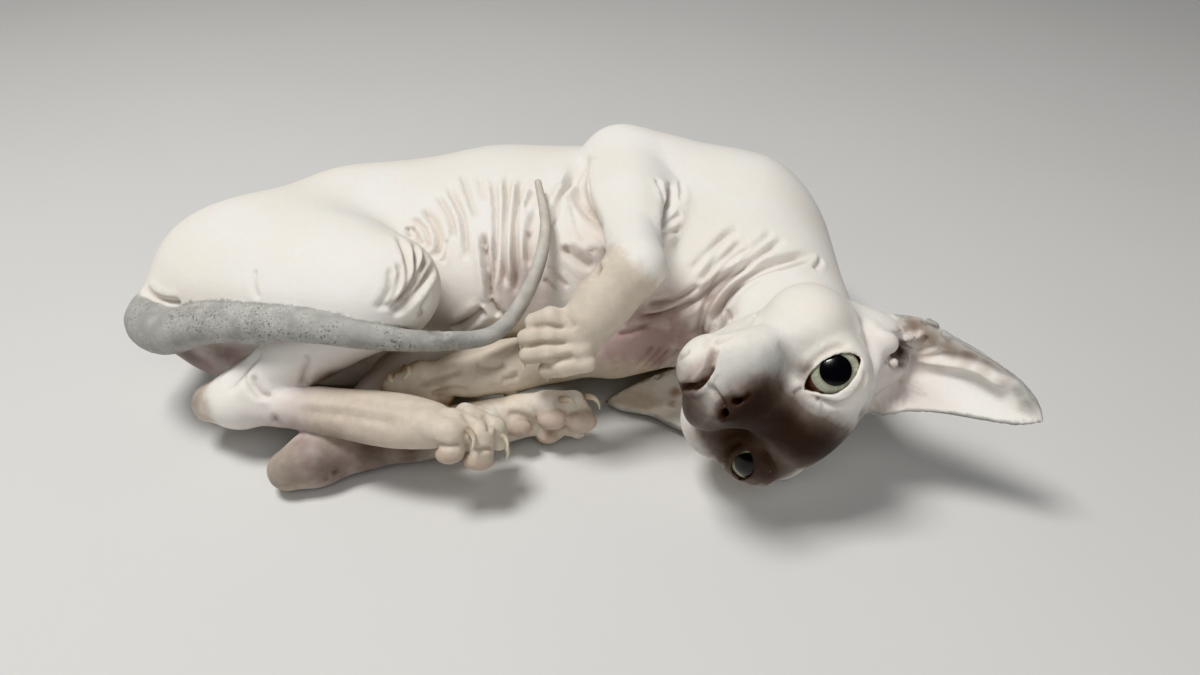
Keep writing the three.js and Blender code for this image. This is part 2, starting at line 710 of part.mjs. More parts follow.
// An ear: a thin sheet between two edges, hollowed towards its back
function earSheet(innerPoints, outerPoints, back, hollow) {
  const inner = new THREE.CatmullRomCurve3(innerPoints);
  const outer = new THREE.CatmullRomCurve3(outerPoints);
  const rows = 10;
  const columns = 8;
  const middle = (u, v) =>
    inner
      .getPoint(u)
      .lerp(outer.getPoint(u), v)
      .addScaledVector(back, hollow * (1 - u * u) * 4 * v * (1 - v));
  const points = [];
  for (const side of [1, -1])
    for (let i = 0; i <= rows; i++)
      for (let j = 0; j <= columns; j++) {
        const u = i / rows;
        const v = j / columns;
        const alongU = middle(Math.min(u + 0.02, 1), v).sub(middle(Math.max(u - 0.02, 0), v));
        const alongV = middle(u, Math.min(v + 0.02, 1)).sub(middle(u, Math.max(v - 0.02, 0)));
        const normal = alongU.cross(alongV).normalize();
        const rim = Math.min(1, 0.45 + 0.55 * Math.min(8 * Math.min(v, 1 - v), 8 * (1 - u)));
        const p = middle(u, v).addScaledVector(normal, (side * EAR_THICKNESS * rim) / 2);
        points.push(p.x, p.y, p.z);
      }
  const width = columns + 1;
  const count = (rows + 1) * width;
  const faces = [];
  const quad = (a, b, c, d) => faces.push(a, b, c, a, c, d);
  for (let i = 0; i < rows; i++)
    for (let j = 0; j < columns; j++) {
      const a = i * width + j;
      quad(a, a + width, a + width + 1, a + 1);
      quad(count + a, count + a + 1, count + a + width + 1, count + a + width);
    }
  const rimQuad = (a, b) => quad(b, a, count + a, count + b);
  for (let i = 0; i < rows; i++) {
    rimQuad(i * width, (i + 1) * width);
    rimQuad((i + 1) * width + columns, i * width + columns);
  }
  for (let j = 0; j < columns; j++) {
    rimQuad(j + 1, j);
    rimQuad(rows * width + j, rows * width + j + 1);
  }
  const geometry = new THREE.BufferGeometry();
  geometry.setAttribute("position", new THREE.Float32BufferAttribute(points, 3));
  geometry.setIndex(faces);
  const solid = solidFrom(geometry);
  if (solid.volume() > 0) return solid;
  for (let i = 0; i < faces.length; i += 3) [faces[i], faces[i + 1]] = [faces[i + 1], faces[i]];
  geometry.setIndex(faces);
  return solidFrom(geometry);
}

// The upper ear stands out from the head
addPart(
  "ear_right",
  earSheet(
    [inHead(-4, -14, 20), inHead(-4, -22, 38), inHead(-6, -33, 57), inHead(-6, -42, 69), inHead(-6, -48, 75)],
    [
      inHead(-18, -36, 4),
      inHead(-13, -50, 19),
      inHead(-9, -55, 36),
      inHead(-6, -57, 52),
      inHead(-5, -55, 65),
      inHead(-5, -52, 73),
    ],
    inHead(-1, 0.15, 0.1).sub(inHead(0, 0, 0)).normalize(),
    13,
  ),
  cream,
);

// The lower ear is pressed flat on the floor, with its hollow side up
addPart(
  "ear_left",
  earSheet(
    [at(66, -22, 12), at(50, -20, 6), at(36, -14, 5), at(23, -4, 4.5), at(10, 1, 4), at(2, 4.5, 4)],
    [at(70, 12, 14), at(54, 20, 9), at(38, 22, 7), at(26, 20, 6), at(14, 15, 5), at(3, 9, 4)],
    at(0, 0, -1),
    3.2,
  ),
  cream,
);

// Head, with the opening of the lids, the nostrils and the line of the mouth
function lidOpening(side) {
  const w = LID_OPENING / 2;
  const almond = new THREE.Shape();
  almond.moveTo(-w, 0);
  almond.bezierCurveTo(-w * 0.6, 9, w * 0.5, 9.5, w, 0);
  almond.bezierCurveTo(w * 0.45, -8.5, -w * 0.55, -8, -w, 0);
  const geometry = new THREE.ExtrudeGeometry(almond, { depth: 14, bevelEnabled: false, curveSegments: 7 });
  const look = at(0.94, side * 0.3, 0.06).normalize();
  const outward = at(-0.12, side, 0.28);
  outward.addScaledVector(look, -outward.dot(look)).normalize();
  const place = new THREE.Matrix4().makeBasis(outward, look.clone().cross(outward), look);
  geometry.applyMatrix4(place.setPosition(eyeCentre(side).addScaledVector(look, 3)));
  return solidFrom(geometry.applyMatrix4(headPlace));
}
function nostril(side) {
  const geometry = new THREE.SphereGeometry(1, 8, 6).scale(3.4, 1.7, 1.3).rotateZ(side * 0.5);
  return solidFrom(geometry.translate(54.6, side * 3.8, -15).applyMatrix4(headPlace));
}
function mouthLine() {
  const half = [
    [29, 20, -29],
    [40, 14, -30.5],
    [48.5, 7, -29.5],
  ];
  const mirrored = half.map(([x, y, z]) => inHead(x, -y, z)).reverse();
  const points = [...half.map((p) => inHead(...p)), inHead(51.5, 0, -27.5), ...mirrored];
  return tube(new THREE.CatmullRomCurve3(points), () => 1.3, 0, 1, 16, 5);
}
const socket = (side) =>
  solidFrom(
    new THREE.SphereGeometry(EYE_RADIUS + GAP, 16, 10)
      .translate(...eyeCentre(side).toArray())
      .applyMatrix4(headPlace),
  );
const nape = inHead(-30, 0, 2);
const napeDirection = inHead(-20, 0, 0).sub(inHead(-30, 0, 0));
addPart("head", surfaceSolid(near(head, 6, whole), space(10, -100, -10, 140, 40, 110, facets.head)), mask, [
  beyond(nape, napeDirection.clone().negate()),
  ...both(lidOpening),
  ...both(socket),
  ...both(nostril),
  mouthLine(),
]);

// A leg in three lengths; what the trunk has to leave free for it comes back
function addLeg(names, [, bend, ankle, toe], forms, field, rootSolid, sleeve, spaces, rootCuts = []) {
  const [rootName, midName, endName] = names;
  const ankleDirection = mitre(bend, ankle, toe);
  addPart(endName, surfaceSolid(near(forms.end, 4, field), spaces.end), pink, [beyond(ankle, ankleDirection)]);
  addPart(midName, surfaceSolid(near(forms.mid, 2, field), spaces.mid), cream, [
    beyond(ankle, ankleDirection.clone().negate()),
  ]);
  const root = surfaceSolid(near(forms.root, 8, whole), spaces.root).intersect(rootSolid(ROOT_MARGIN));
  const free = sleeve(2.4 + GAP * 2);
  addPart(rootName, root, cream, [...rootCuts, free]);
  return [rootSolid(ROOT_MARGIN + GAP), free];
}

const halfWay = at(0, 0, 42);
const below = beyond(halfWay, at(0, 0, -1));
const above = beyond(halfWay, at(0, 0, 1));
const thighSolid = (leg, hip, knee) => (margin) =>
  eggSolid(leg.thighCentre, leg.thighRadii, knee.clone().sub(hip), at(0, 0, 1), margin);
const cleared = [
  ...addLeg(
    ["hind_thigh_right", "hind_shin_right", "hind_foot_right"],
    [bones.hipRight, bones.kneeRight, bones.hockRight, bones.ballRight],
    { root: rightHind.thigh, mid: rightHind.shin, end: fuse(4, [rightHind.foot, pawHindRight.field]) },
    rightHindLeg,
    thighSolid(rightHind, bones.hipRight, bones.kneeRight),
    (margin) => rodSolid(bones.kneeRight, bones.hockRight, 18, 11, margin),
    {
      root: space(-240, -60, 0, -30, 100, 120, facets.root),
      mid: space(-195, -55, -5, -45, 50, 110, facets.limb),
      end: space(-195, -90, -10, -5, 30, 65, facets.foot),
    },
    [below],
  ),
  ...addLeg(
    ["hind_thigh_left", "hind_shin_left", "hind_foot_left"],
    [bones.hipLeft, bones.kneeLeft, bones.hockLeft, bones.ballLeft],
    { root: leftHind.thigh, mid: leftHind.shin, end: fuse(4, [leftHind.foot, pawHindLeft.field]) },
    leftHindLeg,
    thighSolid(leftHind, bones.hipLeft, bones.kneeLeft),
    (margin) => rodSolid(bones.kneeLeft, bones.hockLeft, 15.5, 9.5, margin),
    {
      root: space(-240, -60, -20, -30, 100, 80, facets.root),
      mid: space(-150, -70, -15, -30, 80, 60, facets.limb),
      end: space(-155, -80, -15, 40, 30, 50, facets.foot),
    },
    [above],
  ),
  ...addLeg(
    ["fore_shoulder_right", "fore_arm_right", "fore_paw_right"],
    [bones.shoulderRight, bones.elbowRight, bones.wristRight, bones.knuckleRight],
    { root: rightFore.upper, mid: rightFore.lower, end: pawForeRight.field },
    rightForeLeg,
    (margin) => rodSolid(bones.shoulderRight, bones.elbowRight, 27, 16, margin, 20),
    (margin) => rodSolid(bones.elbowRight, bones.wristRight, 14.5, 11.5, margin),
    {
      root: space(-30, 20, 20, 125, 135, 125, facets.root),
      mid: space(-20, -35, 50, 60, 120, 125, facets.limb),
      end: space(-55, -55, 20, 50, 35, 115, facets.paw),
    },
    [below],
  ),
  ...addLeg(
    ["fore_shoulder_left", "fore_arm_left", "fore_paw_left"],
    [bones.shoulderLeft, bones.elbowLeft, bones.wristLeft, bones.knuckleLeft],
    { root: leftFore.upper, mid: leftFore.lower, end: pawForeLeft.field },
    leftForeLeg,
    (margin) => rodSolid(bones.shoulderLeft, bones.elbowLeft, 25, 16, margin),
    (margin) => rodSolid(bones.elbowLeft, bones.wristLeft, 14.5, 11.5, margin),
    {
      root: space(0, -20, -20, 130, 120, 70, facets.root),
      mid: space(-70, -30, -15, 80, 60, 60, facets.limb),
      end: space(-115, -45, -10, -10, 40, 65, facets.paw),
    },
    [above],
  ),
];

// Neck and torso
const neckCut = bones.neckBase.clone().lerp(nape, 0.15);
const neckDirection = nape.clone().sub(bones.neckBase).normalize();
const behindNeck = beyond(neckCut, neckDirection.clone().negate());
const neckSolid = (margin) => rodSolid(bones.neckBase, inHead(-20, 0, 0), 32, 30, margin, 20);
addPart(
  "neck",
  surfaceSolid(near(neck, 12, whole), space(20, -60, -15, 160, 150, 115, facets.neck)).intersect(neckSolid(6)),
  cream,
  [beyond(nape, napeDirection), behindNeck, ...cleared],
);
addPart("torso", surfaceSolid(near(trunk, 14, whole), space(-240, -60, -15, 150, 160, 115, facets.trunk)), cream, [
  ...cleared,
  neckSolid(6 + GAP).subtract(beyond(neckCut.clone().addScaledVector(neckDirection, -GAP), neckDirection.clone().negate())),
]);

// The origin moves to the middle of the underside
const middle = new THREE.Box3().setFromObject(group, true).getCenter(at(0, 0, 0));
group.position.set(-middle.x, -middle.y, 0);

export default group;
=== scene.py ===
"""A life-size sphynx cat that lies on its left side, with its head turned over to look up.

The skin is one closed surface, taken from a smooth distance field that is made of round forms on named bones.
Its folds are pressed in along lines that are laid over the body. Eyes and claws are pieces of their own.
Forms are in millimetres, in the frame that the cat was posed in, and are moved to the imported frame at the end.
"""

import math
from functools import reduce

import bpy
import numpy as np
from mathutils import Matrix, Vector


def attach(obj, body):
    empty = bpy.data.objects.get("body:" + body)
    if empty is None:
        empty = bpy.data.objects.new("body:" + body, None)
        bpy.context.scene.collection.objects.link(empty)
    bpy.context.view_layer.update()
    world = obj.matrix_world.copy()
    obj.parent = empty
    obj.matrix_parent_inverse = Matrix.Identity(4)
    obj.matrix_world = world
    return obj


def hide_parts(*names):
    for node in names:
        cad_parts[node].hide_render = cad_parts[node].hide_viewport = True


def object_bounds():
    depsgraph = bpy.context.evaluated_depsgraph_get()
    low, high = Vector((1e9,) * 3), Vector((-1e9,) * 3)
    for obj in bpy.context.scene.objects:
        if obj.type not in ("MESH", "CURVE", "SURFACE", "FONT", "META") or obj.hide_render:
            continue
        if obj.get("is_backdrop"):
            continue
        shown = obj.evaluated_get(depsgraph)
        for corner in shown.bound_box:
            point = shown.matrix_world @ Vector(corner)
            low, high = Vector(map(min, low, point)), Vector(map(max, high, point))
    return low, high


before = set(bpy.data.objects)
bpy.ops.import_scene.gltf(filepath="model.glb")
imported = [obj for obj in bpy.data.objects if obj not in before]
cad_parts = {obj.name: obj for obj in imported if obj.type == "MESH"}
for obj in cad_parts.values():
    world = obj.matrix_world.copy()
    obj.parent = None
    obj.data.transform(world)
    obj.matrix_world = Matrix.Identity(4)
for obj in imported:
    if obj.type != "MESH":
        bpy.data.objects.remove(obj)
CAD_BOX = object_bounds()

import openvdb
from bpy.props import FloatProperty, FloatVectorProperty, IntProperty, PointerProperty
from mathutils import Matrix, Vector
from mathutils.bvhtree import BVHTree
from mathutils.kdtree import KDTree

bl_info = {
    "name": "Sphynx Cat Lying Down",
    "version": (1, 0, 0),
    "blender": (4, 5, 0),
    "location": "View3D > Sidebar > Cat",
    "description": "Builds a life-size hairless cat with folded skin, eyes and claws",
    "category": "Mesh",
}


MM = 0.001  # a millimetre, in metres
METRE = 1000  # a metre, in millimetres


def length(name, text, size, top=0.1):
    return FloatProperty(name=name, description=text, default=size, min=0.0, max=top, unit="LENGTH", precision=4)


def shade(name, text, colour):
    return FloatVectorProperty(name=name, description=text, default=colour, size=3, min=0.0, max=1.0, subtype="COLOR")


class CatSizes(bpy.types.PropertyGroup):
    """Sizes of the cat that a user would change"""

    voxel: length("Voxel", "Step at which the flesh is sampled", 0.0008)
    iris_radius: length("Iris Radius", "Radius of the coloured ring of the eye", 0.0087)
    pupil_radius: length("Pupil Radius", "Radius of the wide dark pupil", 0.0054)
    ear_thickness: length("Ear Thickness", "Thickness of the ear's flap", 0.0021)
    hind_claw: length("Hind Claw", "How far a hind claw stands out", 0.0068)
    fore_claw: length("Fore Claw", "How far a fore claw, which is drawn in, stands out", 0.0036)
    claw_radius: length("Claw Radius", "Radius of a claw where it leaves the toe", 0.0014)
    fold_depth: FloatProperty(name="Fold Depth", description="Factor on every depth", default=1.35, min=0.0, max=3.0)
    skin_faces: IntProperty(name="Skin Faces", description="Triangles of the finished skin", default=192000, min=1000)


class CatColours(bpy.types.PropertyGroup):
    """Colours of the cat's skin, eyes and claws"""

    cream: shade("Cream", "Pale skin of the body", (0.82, 0.80, 0.765))
    sand: shade("Sand", "Beige skin of the forearms, paws and hind feet", (0.52, 0.45, 0.365))
    # Also laid as painted shade, with pink light thrown up from below, on the buttock and the left hind foot
    blush: shade("Blush", "Thin pink skin of the chest, belly and inner ears", (0.40, 0.30, 0.285))
    # Painted shade, multiplied into the skin along the bottom of the folds
    crease: shade("Crease", "Skin at the bottom of the folds", (0.44, 0.35, 0.31))
    # Brown of the mask's soft edge, also laid as painted shade on the shaded hind legs
    mask_edge_and_shade: shade("Dusk", "Brown skin at the edge of the face's mask", (0.27, 0.225, 0.20))
    # The mask's pigment, darkened into painted shade for the head's shaded underside
    mask: shade("Mask", "Dark brown skin of the face", (0.045, 0.032, 0.028))
    ash: shade("Ash", "Blue-grey skin of the whisker pads", (0.50, 0.49, 0.46))
    smoke: shade("Smoke", "Grey skin of the tail and the ear rims", (0.325, 0.32, 0.30))
    leather: shade("Leather", "Light brown leather of the toe pads and the ear's edge", (0.40, 0.305, 0.24))
    iris: shade("Iris", "Pale green ring of the eye", (0.42, 0.43, 0.33))
    horn: shade("Horn", "Claws", (0.74, 0.66, 0.52))
    floor: shade("Floor", "Stage", (0.66, 0.655, 0.64))


def vec(*numbers):
    return np.array(numbers, np.float32)


def unit(v):
    return v / np.linalg.norm(v)


def mix(a, b, t):
    return a + (b - a) * t


def size_of(v):
    return np.sqrt(np.einsum("ij,ij->i", v, v))


# Distance forms: each gives the distance of some places from its surface, below zero inside
def ball(centre, radius):
    return lambda p: size_of(p - centre) - radius


def rod(a, b, ra, rb=None):
    """A round rod from a to b whose radius runs from ra to rb"""
    rb = ra if rb is None else rb
    ab = b - a
    square = float(ab @ ab)

    def field(p):
        t = np.clip((p - a) @ ab / square, 0, 1)
        return size_of(p - a - t[:, None] * ab) - mix(ra, rb, t)

    return field


def egg(centre, radii, along=vec(1, 0, 0), up=vec(0, 0, 1)):
    """An egg with its three radii along a direction, across it and towards up"""
    e1 = unit(along)
    e2 = unit(np.cross(up, e1))
    axes = np.stack([e1, e2, np.cross(e1, e2)]).astype(np.float32)
    r = vec(*radii)

    def field(p):
        q = ((p - centre) @ axes.T) / r
        k0 = size_of(q)
        k1 = np.maximum(size_of(q / r), 1e-9)
        return k0 * (k0 - 1) / k1

    return field


def smooth(a, b, k):
    """The union of two distances, rounded over a width k"""
    h = np.maximum(k - np.abs(a - b), 0)
    return np.minimum(a, b) - h * h / (4 * k)


def fuse(k, *forms):
    """Forms that are melted together, one after another"""
    return lambda p: reduce(lambda a, b: smooth(a, b, k), (f(p) for f in forms))


def hang(body, limb, k, joint, reach):
    """Two bodies that melt together near a joint, and only touch away from it"""

    def field(p):
        fade = np.clip(2 - size_of(p - joint) / reach, 0, 1)
        return smooth(body(p), limb(p), 0.6 + (k - 0.6) * fade * fade * (3 - 2 * fade))

    return field


def carve(body, hole, k):
    """A body less a hole, with a rounded edge"""
    return lambda p: -smooth(-body(p), hole(p), k)


def within(field, centre, radius):
    """A field that is only worked out inside a ball, to save time"""

    def near(p):
        far = size_of(p - centre) - radius
        d = (far + CLEAR).astype(np.float32)
        close = far < 0
        d[close] = field(p[close])
        return d

    return near


CLEAR = 30  # the least distance that such a field gives outside its ball
BUILD_ORIGIN = vec(21.77, -31.81, 0)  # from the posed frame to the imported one

BONES = dict(
    withers=vec(74, 88, 52),
    neck_base=vec(76, 64, 46),
    hip_right=vec(-160, 34, 60),
    knee_right=vec(-86, 0, 70),
    hock_right=vec(-152, -17, 25),
    heel_right=vec(-165, -15, 21.5),
    ball_right=vec(-66, -44, 34),
    hip_left=vec(-158, 40, 24),
    knee_left=vec(-68, 44, 18),
    hock_left=vec(-117, -38, 11),
    heel_left=vec(-127, -44, 10),
    ball_left=vec(-32, -13, 13),
    shoulder_right=vec(66, 76, 62),
    elbow_right=vec(9, 86, 85),
    wrist_right=vec(14.5, -5, 83),
    knuckle_right=vec(-6, -15, 64),
    shoulder_left=vec(84, 66, 24),
    elbow_left=vec(44, 28, 31),
    wrist_left=vec(-38, 0, 30),
    knuckle_left=vec(-63, -9, 32),
)
# The joints that shape each kind of limb, and for each limb how softly and how far from its root it melts into the
# body, and the girth of a hind leg
JOINTS = {"hind": ("hip", "knee", "hock", "heel", "ball"), "fore": ("shoulder", "elbow", "wrist")}
LEGS = (("hind_right", 18, 45, 1), ("hind_left", 18, 45, 0.86), ("fore_right", 18, 48), ("fore_left", 14, 40))
# Each paw's upward direction and its size
PAWS = {
    "hind_right": (vec(0.1, -0.3, 0.95), 1),
    "hind_left": (vec(0, 0.85, 0.5), 1.05),
    "fore_right": (vec(-0.1, -0.8, 0.6), 1),
    "fore_left": (vec(0, -0.6, 0.8), 0.95),
}

# The head's own frame: x along the muzzle, y to the cat's left, z to the crown
HEAD_AXES = np.array([[-0.336, -0.897, 0.288], [-0.567, -0.052, -0.822], [0.752, -0.44, -0.49]], np.float32)
HEAD_PLACE = vec(75, -32, 45)


def in_head(x, y, z):
    """The posed place of a place in the head's frame"""
    return vec(x, y, z) @ HEAD_AXES + HEAD_PLACE


def to_head(p):
    """Posed places in the head's frame"""
    return (p - HEAD_PLACE) @ HEAD_AXES.T


EYE_RADIUS = 12.4
LID_THICKNESS = 1.7
TAIL_STEPS = 60  # points along the tail
TAIL_RADII = (12, 10, 8.6, 8.1, 6, 4.6, 3.7, 3.2, 2.6, 1.6)  # in even steps from root to tip
TAIL_LINE = (
    (-188, 26, 46),
    (-194, 11, 47),
    (-182, -3, 50),
    (-162, -7, 57),
    (-138, -15, 63),
    (-112, -24, 67),
    (-89, -25, 63),
    (-64, -18, 56),
    (-43, -6, 52),
    (-29, 6, 67),
    (-23, 24, 83),
    (-27, 48, 94),
)


def smooth_line(points, count):
    """Evenly spaced points on a smooth curve through some points"""
    points = np.array(points, float)
    knots = np.array([2 * points[0] - points[1], *points, 2 * points[-1] - points[-2]])
    line = []
    for i in range(1, len(knots) - 2):
        p0, p1, p2, p3 = knots[i - 1 : i + 3]
        bend, twist = 2 * p0 - 5 * p1 + 4 * p2 - p3, 3 * p1 - 3 * p2 + p3 - p0
        for t in np.linspace(0, 1, 16, endpoint=False):
            line.append(0.5 * (2 * p1 + (p2 - p0) * t + bend * t**2 + twist * t**3))
    line.append(knots[-2])
    line = np.array(line)
    run = np.concatenate([[0], np.cumsum(np.linalg.norm(np.diff(line, axis=0), axis=1))])
    even = np.linspace(0, run[-1], count)
    return np.stack([np.interp(even, run, axis) for axis in line.T], 1).astype(np.float32)


def trunk_form():
    """The body from the rump to the shoulders, with the root of the tail and the right upper arm"""
    root = [vec(-166, 38, 45), vec(-193, 13, 46)]
    barrel = fuse(
        26,
        egg(vec(-162, 38, 43), (41, 37, 41), vec(1, 0.4, 0)),
        egg(vec(-112, 66, 45), (54, 48, 44), vec(1, 0.4, 0)),
        egg(vec(-46, 77, 46), (58, 63, 45), vec(1, 0.12, 0)),
        egg(vec(12, 73, 46), (54, 63, 45), vec(1, -0.05, 0)),
        egg(vec(54, 66, 46), (42, 50, 42), vec(1, -0.3, 0)),
    )
    upper_arm = rod(vec(11, 78, 80), vec(13.5, 28, 80), 20, 14.5)
    return fuse(8, hang(barrel, rod(*root, 22, 12), 10, root[0], 60), upper_arm)


# The paws' parts, placed by pixels and distance from the camera. Toes: radius, root, knuckle and tip. Pads: half width,
# half height and middle. Claws: root and point. Palm: radius and ends of a rod that widens the back of the paw.
TOES = {
    "fore_right": dict(
        toes=[
            (4.1, (577, 322, 370), (551, 317, 369), (534, 322, 374)),
            (4.1, (580, 336, 370), (549, 334, 369), (526, 338, 375)),
            (4.1, (582, 350, 370), (549, 352, 370), (528, 355, 376)),
            (3.9, (587, 363, 371), (563, 367, 371), (547, 370, 376)),
        ],
        pads=[],
        palm=[(8.5, (612, 300, 374), (580, 348, 375))],
        claws=[
            ((531, 324, 377), (524, 331, 382)),
            ((523, 341, 378), (517, 348, 384)),
            ((525, 358, 379), (519, 365, 385)),
            ((549, 370, 382), (543, 374, 388)),
        ],
    ),
    "hind_right": dict(
        toes=[
            (5.2, (424, 424, 361), (450, 432, 357), (453, 449, 358)),
            (5.1, (453, 421, 362), (481, 435, 360), (482, 452, 361)),
            (4.3, (470, 416, 366), (495, 428, 366), (499, 441, 369)),
            (4.3, (465, 413, 374), (490, 422, 377), (497, 433, 381)),
        ],
        pads=[(5.4, 3.6, (449, 455, 357)), (6.2, 3.8, (479, 461, 361))],
        claws=[
            ((467, 430, 353), (482, 443, 353)),
            ((498, 434, 364), (512, 441, 364)),
            ((500, 442, 369), (510, 449, 369)),
            ((492, 432, 382), (502, 437, 382)),
        ],
    ),
    "hind_left": dict(
        toes=[
            (4.9, (518, 406, 397), (545, 403, 395), (553, 412, 395)),
            (5.2, (545, 402, 398), (573, 403, 397), (581, 413, 397)),
            (4.2, (525, 422, 403), (545, 427, 403), (556, 431, 403)),
            (4.2, (545, 420, 405), (567, 425, 405), (578, 430, 405)),
        ],
        pads=[
            (5.4, 4.3, (519, 427, 393)),
            (6.4, 4.7, (552, 419, 392)),
            (6.8, 5.0, (581, 421, 394)),
            (5.0, 3.4, (548, 436, 401)),
        ],
        claws=[
            ((561, 400, 391), (575, 398, 391)),
            ((587, 397, 395), (601, 399, 395)),
            ((556, 427, 405), (566, 427, 407)),
            ((574, 426, 405), (584, 426, 407)),
        ],
    ),
    "fore_left": dict(
        toes=[
            (4.7, (443, 374, 393), (422, 373, 392), (412, 375, 391)),
            (4.8, (428, 386, 393), (402, 384, 392), (392, 387, 391)),
            (4.6, (428, 396, 394), (406, 397, 394), (399, 401, 393)),
            (4.5, (443, 371, 401), (420, 371, 402), (410, 374, 402)),
        ],
        pads=[(6.0, 4.0, (440, 397, 396))],
        claws=[
            ((408, 369, 387), (414, 381, 387)),
            ((391, 376, 388), (386, 388, 388)),
            ((394, 392, 390), (389, 402, 390)),
            ((405, 368, 402), (399, 377, 402)),
        ],
    ),
}


CLAW_SINK = 2  # how far a claw's root lies under the skin that is seen there


def seen_toes(limb):
    """The toes, pads and claws of a paw from their places in the picture"""
    view_up = vec(0, math.sin(CAMERA_TILT), math.cos(CAMERA_TILT))
    toes, pads, tips = [], [], []
    for radius, *places in TOES[limb]["toes"]:
        root, knuckle, tip = (seen(*place) for place in places)
        toes.append(fuse(1.5, rod(root, knuckle, radius), rod(knuckle, tip, radius, radius * 0.92)))
    for half_width, half_height, place in TOES[limb]["pads"]:
        pads.append(egg(seen(*place), (half_width, half_height, half_height), vec(1, 0, 0), view_up))
    for start, end in TOES[limb]["claws"]:
        start, end = seen(*start), seen(*end)
        along = unit(end - start)
        top = unit(view_up - along * (view_up @ along))
        tips.append((start - top * CLAW_SINK - along, along, top))
    return toes, pads, tips


def seen(u, v, distance):
    """The place behind a pixel, at a distance from the camera along its axis"""
    way, ahead = sight(u, v), sight(*[side / 2 for side in PICTURE])
    return (CAMERA_PLACE + way * distance / (way @ ahead)).astype(np.float32)


def paw_form(limb, up, size):
    """A paw's field, its soles, and the place and directions of each claw"""
    kind, side = limb.split("_")
    if kind == "hind":
        hock, knuckles = BONES["hock_" + side], BONES["ball_" + side]
        ankle = mix(hock, knuckles, 0.45)
    else:
        ankle, knuckles = BONES["wrist_" + side], BONES["knuckle_" + side]
    along = unit(knuckles - ankle)
    top = np.cross(along, unit(np.cross(up, along)))
    reach = float(np.linalg.norm(knuckles - ankle))
    back = fuse(
        6,
        rod(ankle, knuckles, 9 * size, 8 * size),
        egg(mix(ankle, knuckles, 0.62), (reach * 0.56, 11.5 * size, 8.2 * size), along, top),
    )
    for radius, start, end in TOES[limb].get("palm", ()):
        back = fuse(5, back, rod(seen(*start), seen(*end), radius, radius * 0.8))
    toes, pads, tips = seen_toes(limb)
    if kind == "fore":
        palm_pad = (knuckles - top * 7 * size).astype(np.float32)
        pads.append(egg(palm_pad, (6.5 * size, 7 * size, 4 * size), along, top))

    def soles(p):
        return reduce(np.minimum, (f(p) for f in pads))

    toes = fuse(1.1, *toes)

    def field(p):
        return smooth(smooth(back(p), toes(p), 3.0), soles(p), 1.0)

    middle = (knuckles + along * 4 * size).astype(np.float32)
    return within(field, middle, 74), within(soles, middle, 60), tips


def all_paws():
    """Each limb's paw, soles and claws"""
    return {limb: paw_form(limb, *shape) for limb, shape in PAWS.items()}


def hind_leg_form(hip, knee, hock, heel, ball_of, girth, paw):
    """A hind leg from its joints, with its paw"""
    thigh = fuse(
        14,
        egg(mix(hip, knee, 0.42), [r * girth for r in (58, 36, 27)], knee - hip),
        rod(mix(hip, knee, 0.5), knee, 24 * girth, 18 * girth),
    )
    shin = fuse(
        8,
        rod(knee, hock, 17 * girth, 10 * girth),
        rod(mix(knee, hock, 0.15), mix(knee, hock, 0.55), 18 * girth, 12 * girth),
    )
    foot = fuse(6, rod(heel, hock, 8.5, 10), rod(hock, mix(ball_of, hock, 0.3), 9.8, 8.2))
    leg = hang(hang(thigh, shin, 10, knee, 24), fuse(4, foot, paw), 8, hock, 16)
    return within(leg, mix(hip, hock, 0.4), 150)


def fore_leg_form(shoulder, elbow, wrist, paw):
    """A foreleg from its joints, with its paw"""
    upper = fuse(12, rod(shoulder, elbow, 27, 15), rod(elbow, mix(elbow, shoulder, 0.3), 12, 16))
    lower = fuse(8, rod(elbow, wrist, 13, 11), rod(elbow, mix(elbow, wrist, 0.45), 13, 14.5))
    leg = hang(hang(upper, lower, 9, elbow, 20), paw, 8, wrist, 16)
    return within(leg, elbow, 170)


LEFT_SQUINT = 0.69  # the left eye, which is near the floor, is less open
LEFT_SHIFT = 0.8  # and its opening lies farther out


def eye_centre(side):
    """The middle of an eye in the head's frame; the side is 1 for the left eye, -1 for the right one"""
    return vec(19.5, side * 22, 5.5)


def eye_axes(side):
    """The lids' outward, upward and looking directions, in the head's frame"""
    look = unit(vec(0.98, side * 0.18, -0.05))
    outward = vec(-0.165, side * 0.93, 0.327)
    outward = unit(outward - look * (outward @ look))
    return outward, np.cross(look, outward) * side, look


def lid_hole(side):
    """The almond opening between the lids: pointed at the inner corner, lowest towards the outer one"""
    outward, upward, look = eye_axes(side)
    half = 11.6

    def field(p):
        q = p - eye_centre(side)
        if side > 0:
            q = (q - outward * LEFT_SHIFT) / LEFT_SQUINT
        o, u, l = q @ outward, q @ upward, q @ look
        o = np.where(o < 0, o * 1.1, o)
        t = np.clip(o / half, -1, 1)
        arch = 1 - t * t
        top = 6.1 * arch ** np.where(t < 0, 1.25, 0.75) * (1 - 0.08 * t)
        bottom = 5.9 * arch**0.62 * (1 + 0.22 * t)
        across = np.maximum(u - top, -u - bottom) * 0.85
        return np.maximum(np.maximum(across, np.abs(o) - half), 3.0 - l)

    return field


